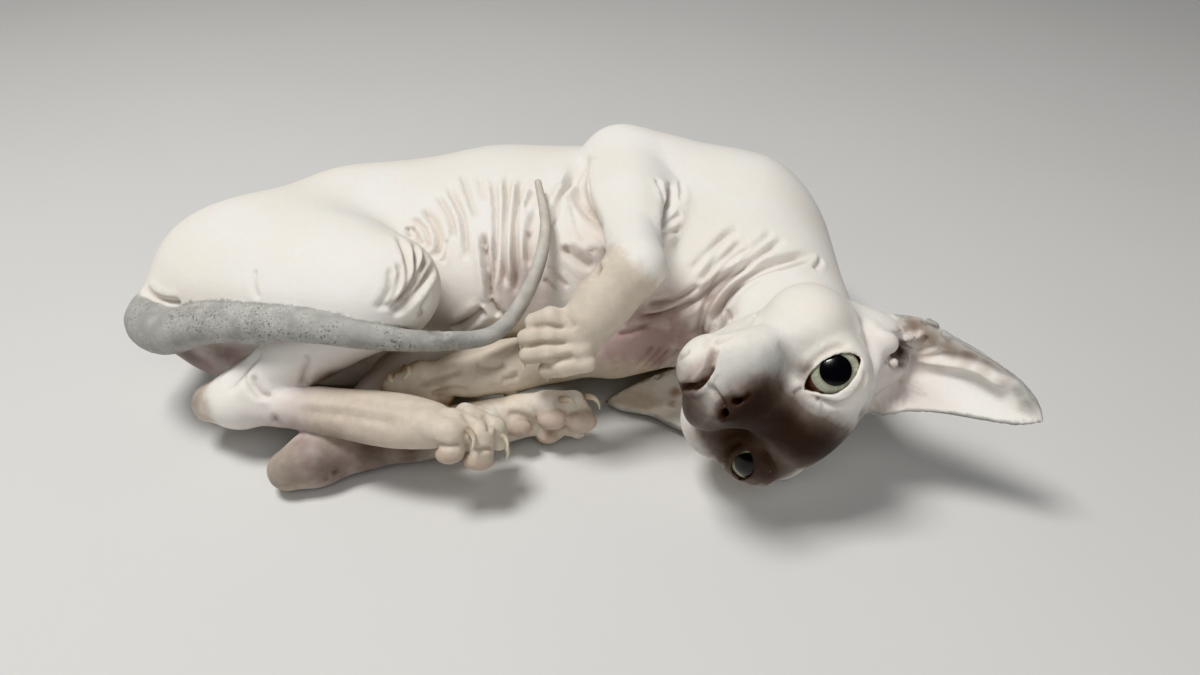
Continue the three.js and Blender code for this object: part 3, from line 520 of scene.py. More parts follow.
def head_form():
    """The head in its own frame"""
    both = lambda make: [make(1), make(-1)]
    skull = fuse(
        9,
        egg(vec(-8, 0, 2), (36, 39, 27)),
        egg(vec(12, 0, 11), (22, 29, 16)),
        rod(vec(18, 0, 3), vec(44, 0, -12.5), 14, 8.5),
        rod(vec(6, 0, -16), vec(35, 0, -30), 19, 9),
        egg(vec(30, 0, -19), (18, 17, 12)),
        *both(lambda s: egg(vec(9, s * 25, -11), (21, 17, 17))),
        *both(lambda s: egg(vec(-11, s * 29, 15), (12, 15, 15))),
    )
    muzzle = fuse(8, skull, *both(lambda s: egg(vec(39, s * 11, -21), (15.5, 10.2, 9.2), vec(-0.75, s * 0.6, 0.15))))
    muzzle = fuse(6, muzzle, egg(vec(40, 0.5, -31.8), (10.4, 10.4, 8.8), vec(1, 0, -0.3)))
    face = fuse(
        3.5,
        muzzle,
        *both(lambda s: ball(eye_centre(s), EYE_RADIUS + LID_THICKNESS)),
        egg(vec(50.5, 0, -14.8), (4.5, 6, 5)),
        *both(lambda s: egg(vec(51.5, s * 4.8, -16.2), (3.4, 2.8, 2.4))),
    )
    for side in (1, -1):
        face = carve(face, lid_hole(side), 1.0)
        face = carve(face, nostril(side), 0.6)
    return face


def nostril(side):
    """A round hole with a comma-shaped slit towards the side"""
    return fuse(
        0.8,
        rod(vec(57, side * 2.7, -15.8), vec(50.5, side * 3.6, -14.6), 1.5, 1.2),
        rod(vec(55.4, side * 3.6, -14.8), vec(52.4, side * 7.2, -13.4), 1.0, 0.7),
    )


def flesh_form():
    """The whole cat but for its ears and tail, as one field"""
    neck = fuse(
        14,
        rod(BONES["neck_base"], in_head(-28, 0, 0), 32, 27),
        rod(BONES["withers"], in_head(-34, 0, 6), 24, 20),
    )
    face = head_form()
    head = within(lambda p: face(to_head(p)), in_head(10, 0, -4), 95)
    body = hang(trunk_form(), neck, 24, BONES["neck_base"], 60)
    body = hang(body, head, 14, in_head(-30, 0, 4), 30)
    paws = all_paws()
    for limb, k, reach, *girth in LEGS:
        kind, side = limb.split("_")
        joints = [BONES[f"{joint}_{side}"] for joint in JOINTS[kind]]
        form = hind_leg_form if kind == "hind" else fore_leg_form
        body = hang(body, form(*joints, *girth, paws[limb][0]), k, joints[0], reach)
    return body


def tail_form():
    """The tail's field and the line that it follows"""
    line = smooth_line(TAIL_LINE, TAIL_STEPS)
    knots = len(TAIL_RADII)
    radii = np.interp(np.linspace(0, knots - 1, TAIL_STEPS), range(knots), TAIL_RADII)

    def part(i):
        return within(rod(line[i], line[i + 1], radii[i], radii[i + 1]), line[i], 30)

    parts = [part(i) for i in range(TAIL_STEPS - 1)]
    return lambda p: reduce(np.minimum, (form(p) for form in parts)), line


def ear_sheet(inner, outer, back, hollow, thickness, rows=44, columns=36):
    """A closed thin sheet between two edges, hollowed towards its back: points and quads"""
    inner = smooth_line(inner, rows + 1)
    outer = smooth_line(outer, rows + 1)
    u = np.linspace(0, 1, rows + 1)[:, None]
    v = np.linspace(0, 1, columns + 1)[None, :]
    tip = np.clip((u - 0.86) / 0.14, 0, 1)
    width = (1 - tip * tip) ** 0.5 * 0.97 + 0.03
    middle = mix(inner[:, None], outer[:, None], 0.5 + (v[..., None] - 0.5) * width[..., None])
    middle = middle + back * (hollow * (1 - u * u) * 4 * v * (1 - v))[..., None]
    along = np.gradient(middle, axis=0)
    across = np.gradient(middle, axis=1)
    normal = np.cross(along, across)
    normal /= np.linalg.norm(normal, axis=2, keepdims=True)
    rim = np.minimum(1, 0.5 + 0.5 * np.minimum(8 * np.minimum(v, 1 - v), 8 * (1 - u)))[..., None]
    sides = [middle + normal * thickness * rim / 2, middle - normal * thickness * rim / 2]
    points = np.concatenate([s.reshape(-1, 3) for s in sides]).astype(np.float32)
    count = (rows + 1) * (columns + 1)
    grid = np.arange(count).reshape(rows + 1, columns + 1)
    quads = np.stack([grid[:-1, :-1], grid[1:, :-1], grid[1:, 1:], grid[:-1, 1:]], -1).reshape(-1, 4)
    edge = np.concatenate([grid[0, :-1], grid[:-1, -1], grid[-1, :0:-1], grid[:0:-1, 0]])
    after = np.roll(edge, -1)
    rim_quads = np.stack([edge, after, after + count, edge + count], -1)
    return points, np.concatenate([quads, quads[:, ::-1] + count, rim_quads]).astype(np.uint32)


# The right ear's edges from root to tip, in the head's frame
RIGHT_INNER = (
    (-3, -8, 22), (-2, -14, 34), (-3, -22, 40), (-5, -30.5, 51), (-6, -38, 63), (-6, -45, 73), (-6, -50, 77.5),
)
RIGHT_OUTER = (
    (-18, -36, 4), (-13, -50, 19), (-9, -54.5, 34), (-6, -57.5, 48), (-5, -58.5, 60), (-5, -57, 70), (-5, -54, 77.5),
)
# The right ear and the left one, which lies on the floor
EAR_SHEETS = (
    dict(
        inner=[in_head(*spot) for spot in RIGHT_INNER],
        outer=[in_head(*spot) for spot in RIGHT_OUTER],
        back=unit(in_head(-1, 0.15, 0.1) - in_head(0, 0, 0)),
        hollow=13,
    ),
    dict(
        inner=((66, -22, 12), (50, -20, 6), (36, -14, 5), (23, -4, 4.5), (10, 1, 4), (2, 4.5, 4)),
        outer=((70, 12, 20), (54, 20, 16), (38, 22, 13), (26, 20, 10), (14, 15, 7), (3, 9, 5)),
        back=vec(0, 0, -1),
        hollow=3.2,
    ),
)


# The camera, in the posed frame, and its picture in pixels
CAMERA_PLACE = vec(0, -321.576, 274.378)
CAMERA_TILT = math.radians(35.5)
PICTURE = (1200, 675)
FOCAL_PIXELS = 930


def sight(u, v):
    """The direction in which the camera sees a pixel"""
    right = (u - PICTURE[0] / 2) / FOCAL_PIXELS
    up = (PICTURE[1] / 2 - v) / FOCAL_PIXELS
    sine, cosine = math.sin(CAMERA_TILT), math.cos(CAMERA_TILT)
    return unit(vec(right, cosine + up * sine, up * cosine - sine))


# Folds by their place on the body: each one's depth and half width in millimetres, then the pixels that it runs
# through. A negative depth raises a ridge.
FOLDS = {
    "knee": [
        (2.4, 1.5, (422, 207), (436, 226), (439, 246), (428, 276), (407, 302), (389, 317)),
        (1.5, 1.1, (412, 216), (426, 232), (429, 254), (419, 279), (399, 305)),
        (1.6, 1.1, (412, 226), (424, 250), (421, 269), (407, 294), (394, 307)),
        (1.6, 1.1, (407, 226), (416, 251), (414, 277), (400, 302), (388, 312)),
        (1.5, 1.1, (395, 231), (406, 255), (407, 280), (394, 304), (383, 312)),
        (1.3, 1.1, (398, 260), (400, 275), (392, 299), (380, 311)),
        (1.0, 1.2, (391, 265), (389, 290), (375, 311)),
        (1.0, 1.0, (447, 239), (446, 250), (442, 264)),
    ],
    "flank": [
        (1.9, 1.1, (437, 194), (451, 219), (455, 240)),
        (2.4, 1.2, (447, 184), (462, 215), (466, 247), (466, 262)),
        (1.6, 1.1, (461, 172), (472, 205), (478, 219)),
        (1.0, 1.0, (479, 177), (482, 190), (485, 202)),
        (4.2, 1.3, (483, 230), (486, 260), (489, 285), (490, 306)),
        (2.6, 1.2, (493, 175), (496, 212), (496, 252), (491, 290)),
        (3.0, 1.2, (508, 170), (507, 202), (504, 240), (504, 271), (509, 290)),
        (3.2, 1.3, (524, 174), (515, 215), (515, 252), (516, 271), (514, 303)),
        (1.3, 1.0, (534, 190), (529, 200), (525, 209)),
        (2.1, 1.2, (534, 207), (529, 235), (528, 255), (530, 273)),
        (1.4, 1.0, (560, 184), (554, 192), (551, 198)),
        (2.4, 1.2, (575, 169), (559, 200), (552, 228)),
    ],
    "belly_edge": [(2.4, 1.8, (428, 331), (450, 331), (470, 320), (484, 308))],
    "belly_deep": [(3.0, 1.5, (489, 300), (496, 311), (503, 321))],
    "nipple_fold": [(0.9, 1.0, (431, 292), (426, 300), (420, 311))],
    "chest": [
        (2.2, 1.8, (563, 246), (576, 257), (600, 273)),
        (1.0, 1.1, (549, 264), (555, 275), (569, 288)),
        (1.0, 1.1, (544, 278), (549, 285), (556, 291)),
    ],
    "elbow": [
        (1.9, 1.3, (578, 172), (579, 200), (590, 219), (603, 239), (606, 252)),
        (1.4, 1.1, (582, 178), (587, 210), (600, 233)),
        (1.0, 1.0, (590, 181), (589, 197), (590, 211)),
        (0.9, 1.0, (592, 209), (595, 218), (599, 228)),
        (0.6, 1.1, (571, 202), (577, 230), (585, 246)),
    ],
    "bend": [
        (1.2, 1.1, (656, 178), (664, 199), (666, 211)),
        (1.7, 1.2, (671, 181), (672, 200), (665, 219)),
        (0.7, 1.0, (680, 180), (682, 191), (680, 201)),
        (0.9, 1.2, (682, 214), (673, 219), (662, 223)),
        (0.8, 1.2, (680, 230), (671, 233), (662, 234)),
    ],
    "throat": [
        (1.9, 1.4, (644, 306), (673, 301), (690, 293), (703, 282)),
        (3.0, 1.7, (741, 262), (713, 286), (694, 302), (661, 316), (628, 320)),
        (1.4, 1.2, (653, 323), (630, 332), (614, 333)),
    ],
    "neck": [
        (0.7, 1.3, (733, 230), (710, 249), (690, 272)),
        (1.0, 1.3, (743, 239), (721, 259), (697, 285)),
        (0.8, 1.3, (773, 231), (751, 251), (738, 263)),
        (2.0, 1.4, (786, 238), (756, 257), (730, 279), (707, 303), (698, 313)),
        (2.4, 1.5, (815, 253), (784, 260), (756, 271), (731, 290), (714, 323), (713, 336)),
        (1.5, 1.2, (816, 258), (790, 266), (761, 274), (737, 287), (725, 299)),
        (1.0, 1.1, (822, 258), (819, 264), (814, 269)),
    ],
    "jaw": [
        (0.8, 0.9, (728, 309), (729, 317), (729, 326)),
        (1.1, 1.0, (757, 313), (743, 330), (714, 344)),
        (0.8, 0.9, (715, 325), (710, 336), (704, 348)),
    ],
    "rump": [(0.8, 1.3, (255, 268), (254, 285), (258, 300))],
    "tail_fold": [(1.9, 1.5, (143, 285), (152, 296), (166, 302), (182, 303))],
    "hock": [
        (1.3, 1.3, (253, 374), (256, 386), (264, 395), (273, 395)),
        (0.8, 1.2, (243, 374), (250, 389), (262, 402)),
    ],
    "heel_cord": [(1.8, 2.4, (262, 350), (247, 366), (236, 379), (226, 391))],
    "shin_end": [(1.2, 1.3, (303, 352), (307, 362), (304, 374), (302, 388))],
    "foot_cord": [
        (-0.5, 1.8, (290, 402), (330, 405), (380, 411), (420, 418)),
        (0.5, 1.6, (300, 410), (350, 415), (400, 424)),
    ],
    "toe_right": [
        (0.8, 1.0, (437, 444), (448, 446), (462, 444)),
        (0.9, 0.9, (466, 452), (480, 450), (494, 447)),
        (0.9, 1.2, (462, 412), (470, 424), (468, 438)),
        (0.8, 1.2, (482, 414), (488, 422), (490, 434)),
    ],
    "paw_right": [
        (0.7, 0.9, (531, 329), (548, 326), (566, 329)),
        (0.7, 0.9, (524, 347), (545, 343), (568, 343)),
        (0.9, 1.2, (538, 364), (555, 360), (575, 356)),
        (0.8, 1.8, (562, 308), (570, 320), (576, 330)),
    ],
    "paw_left": [
        (1.0, 1.0, (416, 385), (427, 384), (448, 376), (464, 371)),
        (1.4, 2.2, (475, 364), (486, 368), (498, 368), (506, 363)),
        (0.9, 1.2, (430, 396), (442, 391), (456, 388), (470, 391)),
        (0.8, 1.4, (500, 380), (510, 378), (520, 375)),
    ],
    "sole_left": [(0.9, 1.2, (506, 414), (518, 414), (530, 420), (536, 430))],
    "philtrum": [(1.2, 0.9, (708, 382), (720, 398), (727, 411))],
    "arm_edge": [(3.4, 3.6, (590, 152), (579, 170), (577, 188), (587, 212), (600, 236), (606, 252))],
    "arm_edge_right": [(2.2, 2.8, (674, 182), (670, 205), (666, 230), (664, 250))],
    "ear_pocket": [(-1.8, 1.2, (900, 336), (909, 338), (917, 336), (923, 331))],
    "ear_pocket_under": [(1.0, 0.9, (898, 340), (908, 342), (918, 341), (927, 335))],
    "ear_ridge": [
        (-1.2, 1.1, (899, 344), (908, 348), (920, 352), (934, 351), (942, 347)),
        (-2.0, 2.2, (904, 351), (916, 358), (932, 362), (952, 363), (972, 366), (990, 375), (1012, 392)),
    ],
    "ear_trough": [(0.8, 2.4, (930, 354), (950, 355), (968, 357), (988, 366), (1006, 379))],
    "ear_crus": [(-1.0, 1.0, (899, 380), (908, 387), (918, 392), (928, 396))],
    "ear_edge": [
        (-1.0, 0.9, (923, 322), (930, 319), (937, 323), (934, 328)),
        (-0.8, 0.9, (942, 333), (948, 336), (953, 339)),
    ],
}

# Folds of the face, which are laid on both of its sides
FACE_FOLDS = {
    "mouth": (2.6, 1.0, (717, 345), (712, 360), (706, 378), (697, 387), (690, 388)),
    "lower_lid": (1.1, 1.0, (803, 378), (812, 363), (824, 353), (838, 346), (852, 345)),
    "upper_lid": (1.3, 1.1, (808, 394), (820, 400), (836, 404), (850, 399), (863, 384), (866, 370)),
    "tear_line": (1.0, 0.8, (803, 388), (799, 390), (794, 395)),
    "cheek_ring": (1.9, 2.2, (861, 313), (869, 340), (872, 372), (867, 402), (857, 421)),
    "pad_edge": (0.6, 2.6, (776, 342), (787, 356), (788, 376), (776, 392)),
}

# Sets of like folds side by side: depth, half width, how many, then the first and the last of them
FOLD_SETS = {
    "lower_chest": (1.0, 1.0, 5, ((655, 345), (645, 357), (636, 367)), ((690, 350), (668, 368), (655, 379))),
    "ear_root": (0.5, 0.8, 5, ((873, 395), (878, 408), (880, 420)), ((905, 394), (903, 404), (900, 412))),
}


def ring_spots(centre, axis, reach, start, stop, count=24):
    """Places round an axis, from one angle to another; 0 degrees is up"""
    axis = unit(axis)
    up = vec(0, 0, 1) if abs(axis[2]) < 0.9 else vec(1, 0, 0)
    e1 = unit(up - axis * (up @ axis))
    e2 = np.cross(axis, e1)
    turns = np.radians(np.linspace(start, stop, count))
    return [centre + (e1 * math.cos(t) + e2 * math.sin(t)) * reach for t in turns]


class Flesh:
    """A dense grid of distances round the cat, worked out only near its surface"""

    BLOCK = 6  # cells along a side of a block
    CHUNK = 4000  # blocks that are worked out at once
    BAND = 6.0  # cells on each side of a sheet that know their distance from it

    def __init__(self, field, low, high, step):
        self.step = step
        block = self.BLOCK
        side = step * block
        self.low = np.array(low, np.float32)
        blocks = np.ceil((np.array(high) - self.low) / side).astype(int)
        middles = self.lattice([self.low[i] + side * (np.arange(blocks[i]) + 0.5) for i in range(3)]).reshape(-1, 3)
        coarse = field(middles)
        half_diagonal = side * 0.87
        reach = half_diagonal + 3 * step
        near = np.abs(coarse) < reach
        sign = np.where(coarse < 0, -reach, reach).astype(np.float32).reshape(blocks)
        self.values = sign.repeat(block, 0).repeat(block, 1).repeat(block, 2)
        fine = (np.arange(block) + 0.5) * step - side / 2
        offsets = self.lattice([fine] * 3).reshape(1, -1, 3)
        places = np.argwhere(near.reshape(blocks)) * block
        spots = middles[near]
        for start in range(0, len(spots), self.CHUNK):
            chunk = slice(start, start + self.CHUNK)
            values = field((spots[chunk, None] + offsets).reshape(-1, 3)).reshape(-1, block, block, block)
            for corner, v in zip(places[chunk], values):
                self.window(corner, corner + block)[:] = v

    @staticmethod
    def lattice(axes):
        return np.stack(np.meshgrid(*axes, indexing="ij"), -1).astype(np.float32)

    def window(self, low, high):
        return self.values[low[0] : high[0], low[1] : high[1], low[2] : high[2]]

    def index(self, points):
        return (points - self.low) / self.step - 0.5

    def join_sheet(self, points, quads, k):
        """Melts a closed mesh into the flesh"""
        spots = self.index(points)
        cells = openvdb.createLinearTransform(voxelSize=1.0)
        sheet = openvdb.FloatGrid.createLevelSetFromPolygons(
            spots.astype(np.float32), quads=quads, transform=cells, halfWidth=self.BAND
        )
        low = np.maximum(np.floor(spots.min(0) - self.BAND).astype(int), 0)
        high = np.minimum(np.ceil(spots.max(0) + self.BAND).astype(int), self.values.shape)
        part = np.zeros(high - low, np.float32)
        sheet.copyToArray(part, ijk=tuple(int(i) for i in low))
        window = self.window(low, high)
        window[:] = smooth(window, part * self.step, k)

    def shape(self, form, centre, radius, k, hollow=False):
        """Melts a form into the flesh near a place, or cuts it out"""
        low = np.maximum(self.index(centre - radius).astype(int), 0)
        high = np.minimum(self.index(centre + radius).astype(int) + 1, self.values.shape)
        spots = self.lattice([self.low[i] + (np.arange(low[i], high[i]) + 0.5) * self.step for i in range(3)])
        distance = form(spots.reshape(-1, 3)).reshape(spots.shape[:3])
        window = self.window(low, high)
        window[:] = -smooth(-window, distance, k) if hollow else smooth(window, distance, k)

    def surface(self):
        """Points and outward quads where the distance is zero"""
        grid = openvdb.FloatGrid(self.step * 3)
        grid.copyFromArray(self.values)
        points, _, quads = grid.convertToPolygons(0.0, 0.0)
        return (points + 0.5) * self.step + self.low, quads


def new_mesh(name, points, faces):
    """A mesh from points in millimetres and an array of faces"""
    mesh = bpy.data.meshes.new(name)
    sides = faces.shape[1]
    mesh.vertices.add(len(points))
    mesh.vertices.foreach_set("co", (np.asarray(points, np.float32) * MM).ravel())
    mesh.loops.add(len(faces) * sides)
    mesh.loops.foreach_set("vertex_index", np.asarray(faces, np.int32).ravel())
    mesh.polygons.add(len(faces))
    mesh.polygons.foreach_set("loop_start", np.arange(0, len(faces) * sides, sides, dtype=np.int32))
    mesh.update(calc_edges=True)
    mesh.validate()
    return mesh


def place(name, mesh):
    """An object in the scene with a mesh"""
    piece = bpy.data.objects.new(name, mesh)
    bpy.context.scene.collection.objects.link(piece)
    return piece


def points_of(mesh):
    """A mesh's points, in metres"""
    points = np.empty(len(mesh.vertices) * 3, np.float32)
    mesh.vertices.foreach_get("co", points)
    return points.reshape(-1, 3)


def finished(piece):
    """Turns a piece with modifiers into a plain mesh"""
    depsgraph = bpy.context.evaluated_depsgraph_get()
    mesh = bpy.data.meshes.new_from_object(piece.evaluated_get(depsgraph), depsgraph=depsgraph)
    piece.modifiers.clear()
    piece.data = mesh
    return piece


def deliver(piece, slot, *nodes):
    """Smooths a piece, and names what it rides and the nodes of the CAD that it replaces; its material slot is not used
    """
    for polygon in piece.data.polygons:
        polygon.use_smooth = True
    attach(piece, "root")
    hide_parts(*nodes)


def ramp(x):
    """A soft step from 0 to 1"""
    x = np.clip(x, 0, 1)
    return x * x * (3 - 2 * x)


def even_line(points, step):
    """A smooth line through some points, in even steps of about a length"""
    points = np.array(points, float)
    run = np.linalg.norm(np.diff(points, axis=0), axis=1).sum()
    return smooth_line(points, max(5, int(run / step)))


def nearest_of(spots):
    """A way to find the number of the spot that is nearest to a place"""
    tree = KDTree(len(spots))
    for i, spot in enumerate(spots):
        tree.insert(spot, i)
    tree.balance()
    return lambda place: tree.find(place)[1]


class Skin:
    """The bare skin, on which folds and stains are laid"""

    PIXEL_STEP = 2.5  # pixels from one point of a seen line to the next
    JUMP = 7  # a longer step between two points ends a piece of a line
    REACH = 4  # how far a fold shapes the skin, in its half widths
    LIP_PLACE, LIP_HEIGHT = 2.2, 0.36  # the raised lips beside it, in half widths and as a share of its depth
    # The painted shade line at the bottom of a groove: its half width, and the depth from which it is full
    STAIN_WIDTH, FULL_STAIN = 0.8, 2.4  # the dark line at its bottom, and the depth from which that is full
    FACING, FACING_SPAN = 0.1, 0.4  # it starts on skin that faces as its line does by this cosine, and grows over this

    def __init__(self, points, quads, fold_depth):
        self.points = points.astype(np.float32)
        self.fold_depth = fold_depth
        across = np.cross(points[quads[:, 2]] - points[quads[:, 0]], points[quads[:, 3]] - points[quads[:, 1]])
        summed = [sum(np.bincount(quads[:, c], across[:, i], len(points)) for c in range(4)) for i in range(3)]
        normals = np.stack(summed, 1)
        self.normals = (normals / np.maximum(np.linalg.norm(normals, axis=1, keepdims=True), 1e-9)).astype(np.float32)
        self.tree = BVHTree.FromPolygons(self.points.tolist(), quads.tolist())
        self.rise = np.zeros(len(points), np.float32)
        self.detail = np.zeros(len(points), np.float32)
        self.stains = {name: np.zeros(len(points), np.float32) for name in STAINS}

    def seen(self, pixel):
        """The place on the skin that the camera sees at a pixel, and its facing"""
        return self.tree.ray_cast(Vector(CAMERA_PLACE), Vector(sight(*pixel)))[:2]

    def seen_line(self, pixels):
        """The pieces of skin under a line of pixels"""
        return self.pieces([self.seen(pixel) for pixel in even_line(pixels, self.PIXEL_STEP)])

    def nearest_line(self, guides):
        """The pieces of skin that are nearest to a line in space"""
        return self.pieces([self.tree.find_nearest(Vector(guide))[:2] for guide in even_line(guides, 1)])

    def pieces(self, hits):
        """Places and facings along a line, cut where it passes to another part of the body"""
        lines, last = [], None
        for place, facing in hits:
            if place is None:
                continue
            if last is None or (place - last).length > self.JUMP:
                lines.append([])
            lines[-1].append((place, facing))
            last = place
        return [np.array(list(zip(*line)), np.float32) for line in lines if len(line) > 2]

    def press(self, lines, depth, width, ends=0.16):
        """Presses a groove with raised lips along lines on the skin, and paints shade along its bottom"""
        depth = depth * self.fold_depth
        reach = self.REACH * width
        for line, facings in lines:
            inside = (self.points > line.min(0) - reach) & (self.points < line.max(0) + reach)
            near = np.flatnonzero(inside.all(1))
            if not len(near):
                continue
            ways = np.diff(line, axis=0)
            rel = self.points[near][:, None] - line[None, :-1]
            t = np.clip((rel * ways).sum(-1) / np.maximum((ways * ways).sum(-1), 1e-6), 0, 1)
            gaps = np.linalg.norm(rel - t[..., None] * ways, axis=-1)
            best = gaps.argmin(1)
            rows = np.arange(len(near))
            gap = gaps[rows, best]
            s = gap / width
            along = (best + t[rows, best]) / len(ways)
            facing = (facings[best] * self.normals[near]).sum(1)
            share = ramp((facing - self.FACING) / self.FACING_SPAN) * ramp(along / ends) * ramp((1 - along) / ends)
            groove = 0.5 * np.exp(-s * s) + 0.5 * np.exp(-0.8 * s) * ramp((self.REACH - s) / 2)
            lips = np.exp(-((s - self.LIP_PLACE) ** 2))
            self.rise[near] += share * depth * (self.LIP_HEIGHT * lips - groove)
            if depth > 0:
                # Painted shade along the bottom of the groove
                dark = share * np.exp(-((gap / self.STAIN_WIDTH) ** 2)) * min(1, depth / self.FULL_STAIN)
                self.stains["crease"][near] = np.maximum(self.stains["crease"][near], dark)
            self.detail[near] = np.maximum(self.detail[near], ramp((3 - s) / 2) * min(1, abs(depth)))

    def raise_spot(self, centre, radius, height):
        """Raises a low round bump"""
        gap = size_of(self.points - vec(*centre)) / radius
        self.rise += height * np.exp(-gap * gap)

    def stain(self, name, distance, strength=1.0, soft=6.0):
        """Stains the skin where a distance form is below zero, with a soft edge"""
        share = strength * ramp(0.5 - distance / soft)
        self.stains[name] = np.maximum(self.stains[name], share)

    def stain_spot(self, name, pixel, width, strength=1.0):
        """Stains a round place under a pixel, softly from its middle to its edge"""
        centre, _ = self.seen(pixel)
        if centre is not None:
            self.stain(name, size_of(self.points - vec(*centre)) - width * 0.5, strength, width)

    def fine_places(self):
        """Where the mesh is to stay dense: folds, face, paws and ears, in quarters from 0 to 1"""
        head = to_head(self.points)
        balls = [(head, vec(38, 0, -6), 46, 12), (head, vec(-4, -46, 45), 40, 8)]
        balls += [(self.points, BONES[joint], 34, 8) for joint in BONES if joint.startswith(("ball", "knuckle"))]
        fine = np.maximum(self.detail, self.stains["rim"])
        for points, middle, radius, soft in balls:
            fine = np.maximum(fine, ramp((radius - size_of(points - middle)) / soft) * 0.75)
        return np.round(np.maximum(fine, 0.5 + 0.25 * (self.stains["smoke"] > 0.3)) * 4) / 4

    def folded(self):
        """The skin's points with its folds, none of them under the floor"""
        points = self.points + self.normals * self.rise[:, None]
        points[:, 2] = np.maximum(points[:, 2], 0)
        return points


# Masks on the skin: the folds' crease and dark are painted shade, and mask and blush are partly painted shade
STAINS = ("crease", "sand", "blush", "mask", "ash", "smoke", "leather", "fleck", "rim", "dark")


def lay_folds(skin):
    """Lays all folds on the skin"""
    for depth, width, *pixels in sum(FOLDS.values(), []):
        skin.press(skin.seen_line(pixels), depth, width)
    for depth, width, *pixels in FACE_FOLDS.values():
        lines = skin.seen_line(pixels)
        skin.press(lines, depth, width)
        for line, _ in lines:
            beside = to_head(line)
            mirrored = (beside * vec(1, -1, 1)) @ HEAD_AXES + HEAD_PLACE
            mirrored = mirrored[np.abs(beside[:, 1]) > 3]
            if len(mirrored) > 6:
                skin.press(skin.nearest_line(mirrored[::2]), depth, width)
    for depth, width, count, first, last in FOLD_SETS.values():
        for share in np.linspace(0, 1, count):
            pixels = mix(np.array(first, float), np.array(last, float), share)
            skin.press(skin.seen_line(pixels), depth, width)
    lay_hidden_folds(skin)


def lay_hidden_folds(skin):
    """Folds on the sides that the camera doesn't see, as such a cat has them"""
    neck_foot, neck_head = vec(80, 62, 46), vec(84, 0, 38)
    for share, depth, start, stop in (
        (0.30, 0.9, -150, -40),
        (0.48, 1.4, -165, -30),
        (0.62, 1.8, -160, -25),
        (0.76, 1.3, -150, -35),
        (0.90, 0.8, -140, -50),
    ):
        centre = mix(neck_foot, neck_head, share)
        skin.press(skin.nearest_line(ring_spots(centre, neck_foot - neck_head, 34, start, stop)), depth, 1.7)
    for spot in smooth_line(SPINE, VERTEBRAE + 2)[1:-1]:
        skin.raise_spot(skin.tree.find_nearest(Vector(spot))[0], 5.5, 0.9)


SPINE = (vec(-180, 76, 44), vec(-130, 116, 46), vec(-60, 138, 48), vec(10, 135, 48), vec(60, 112, 50))
VERTEBRAE = 26


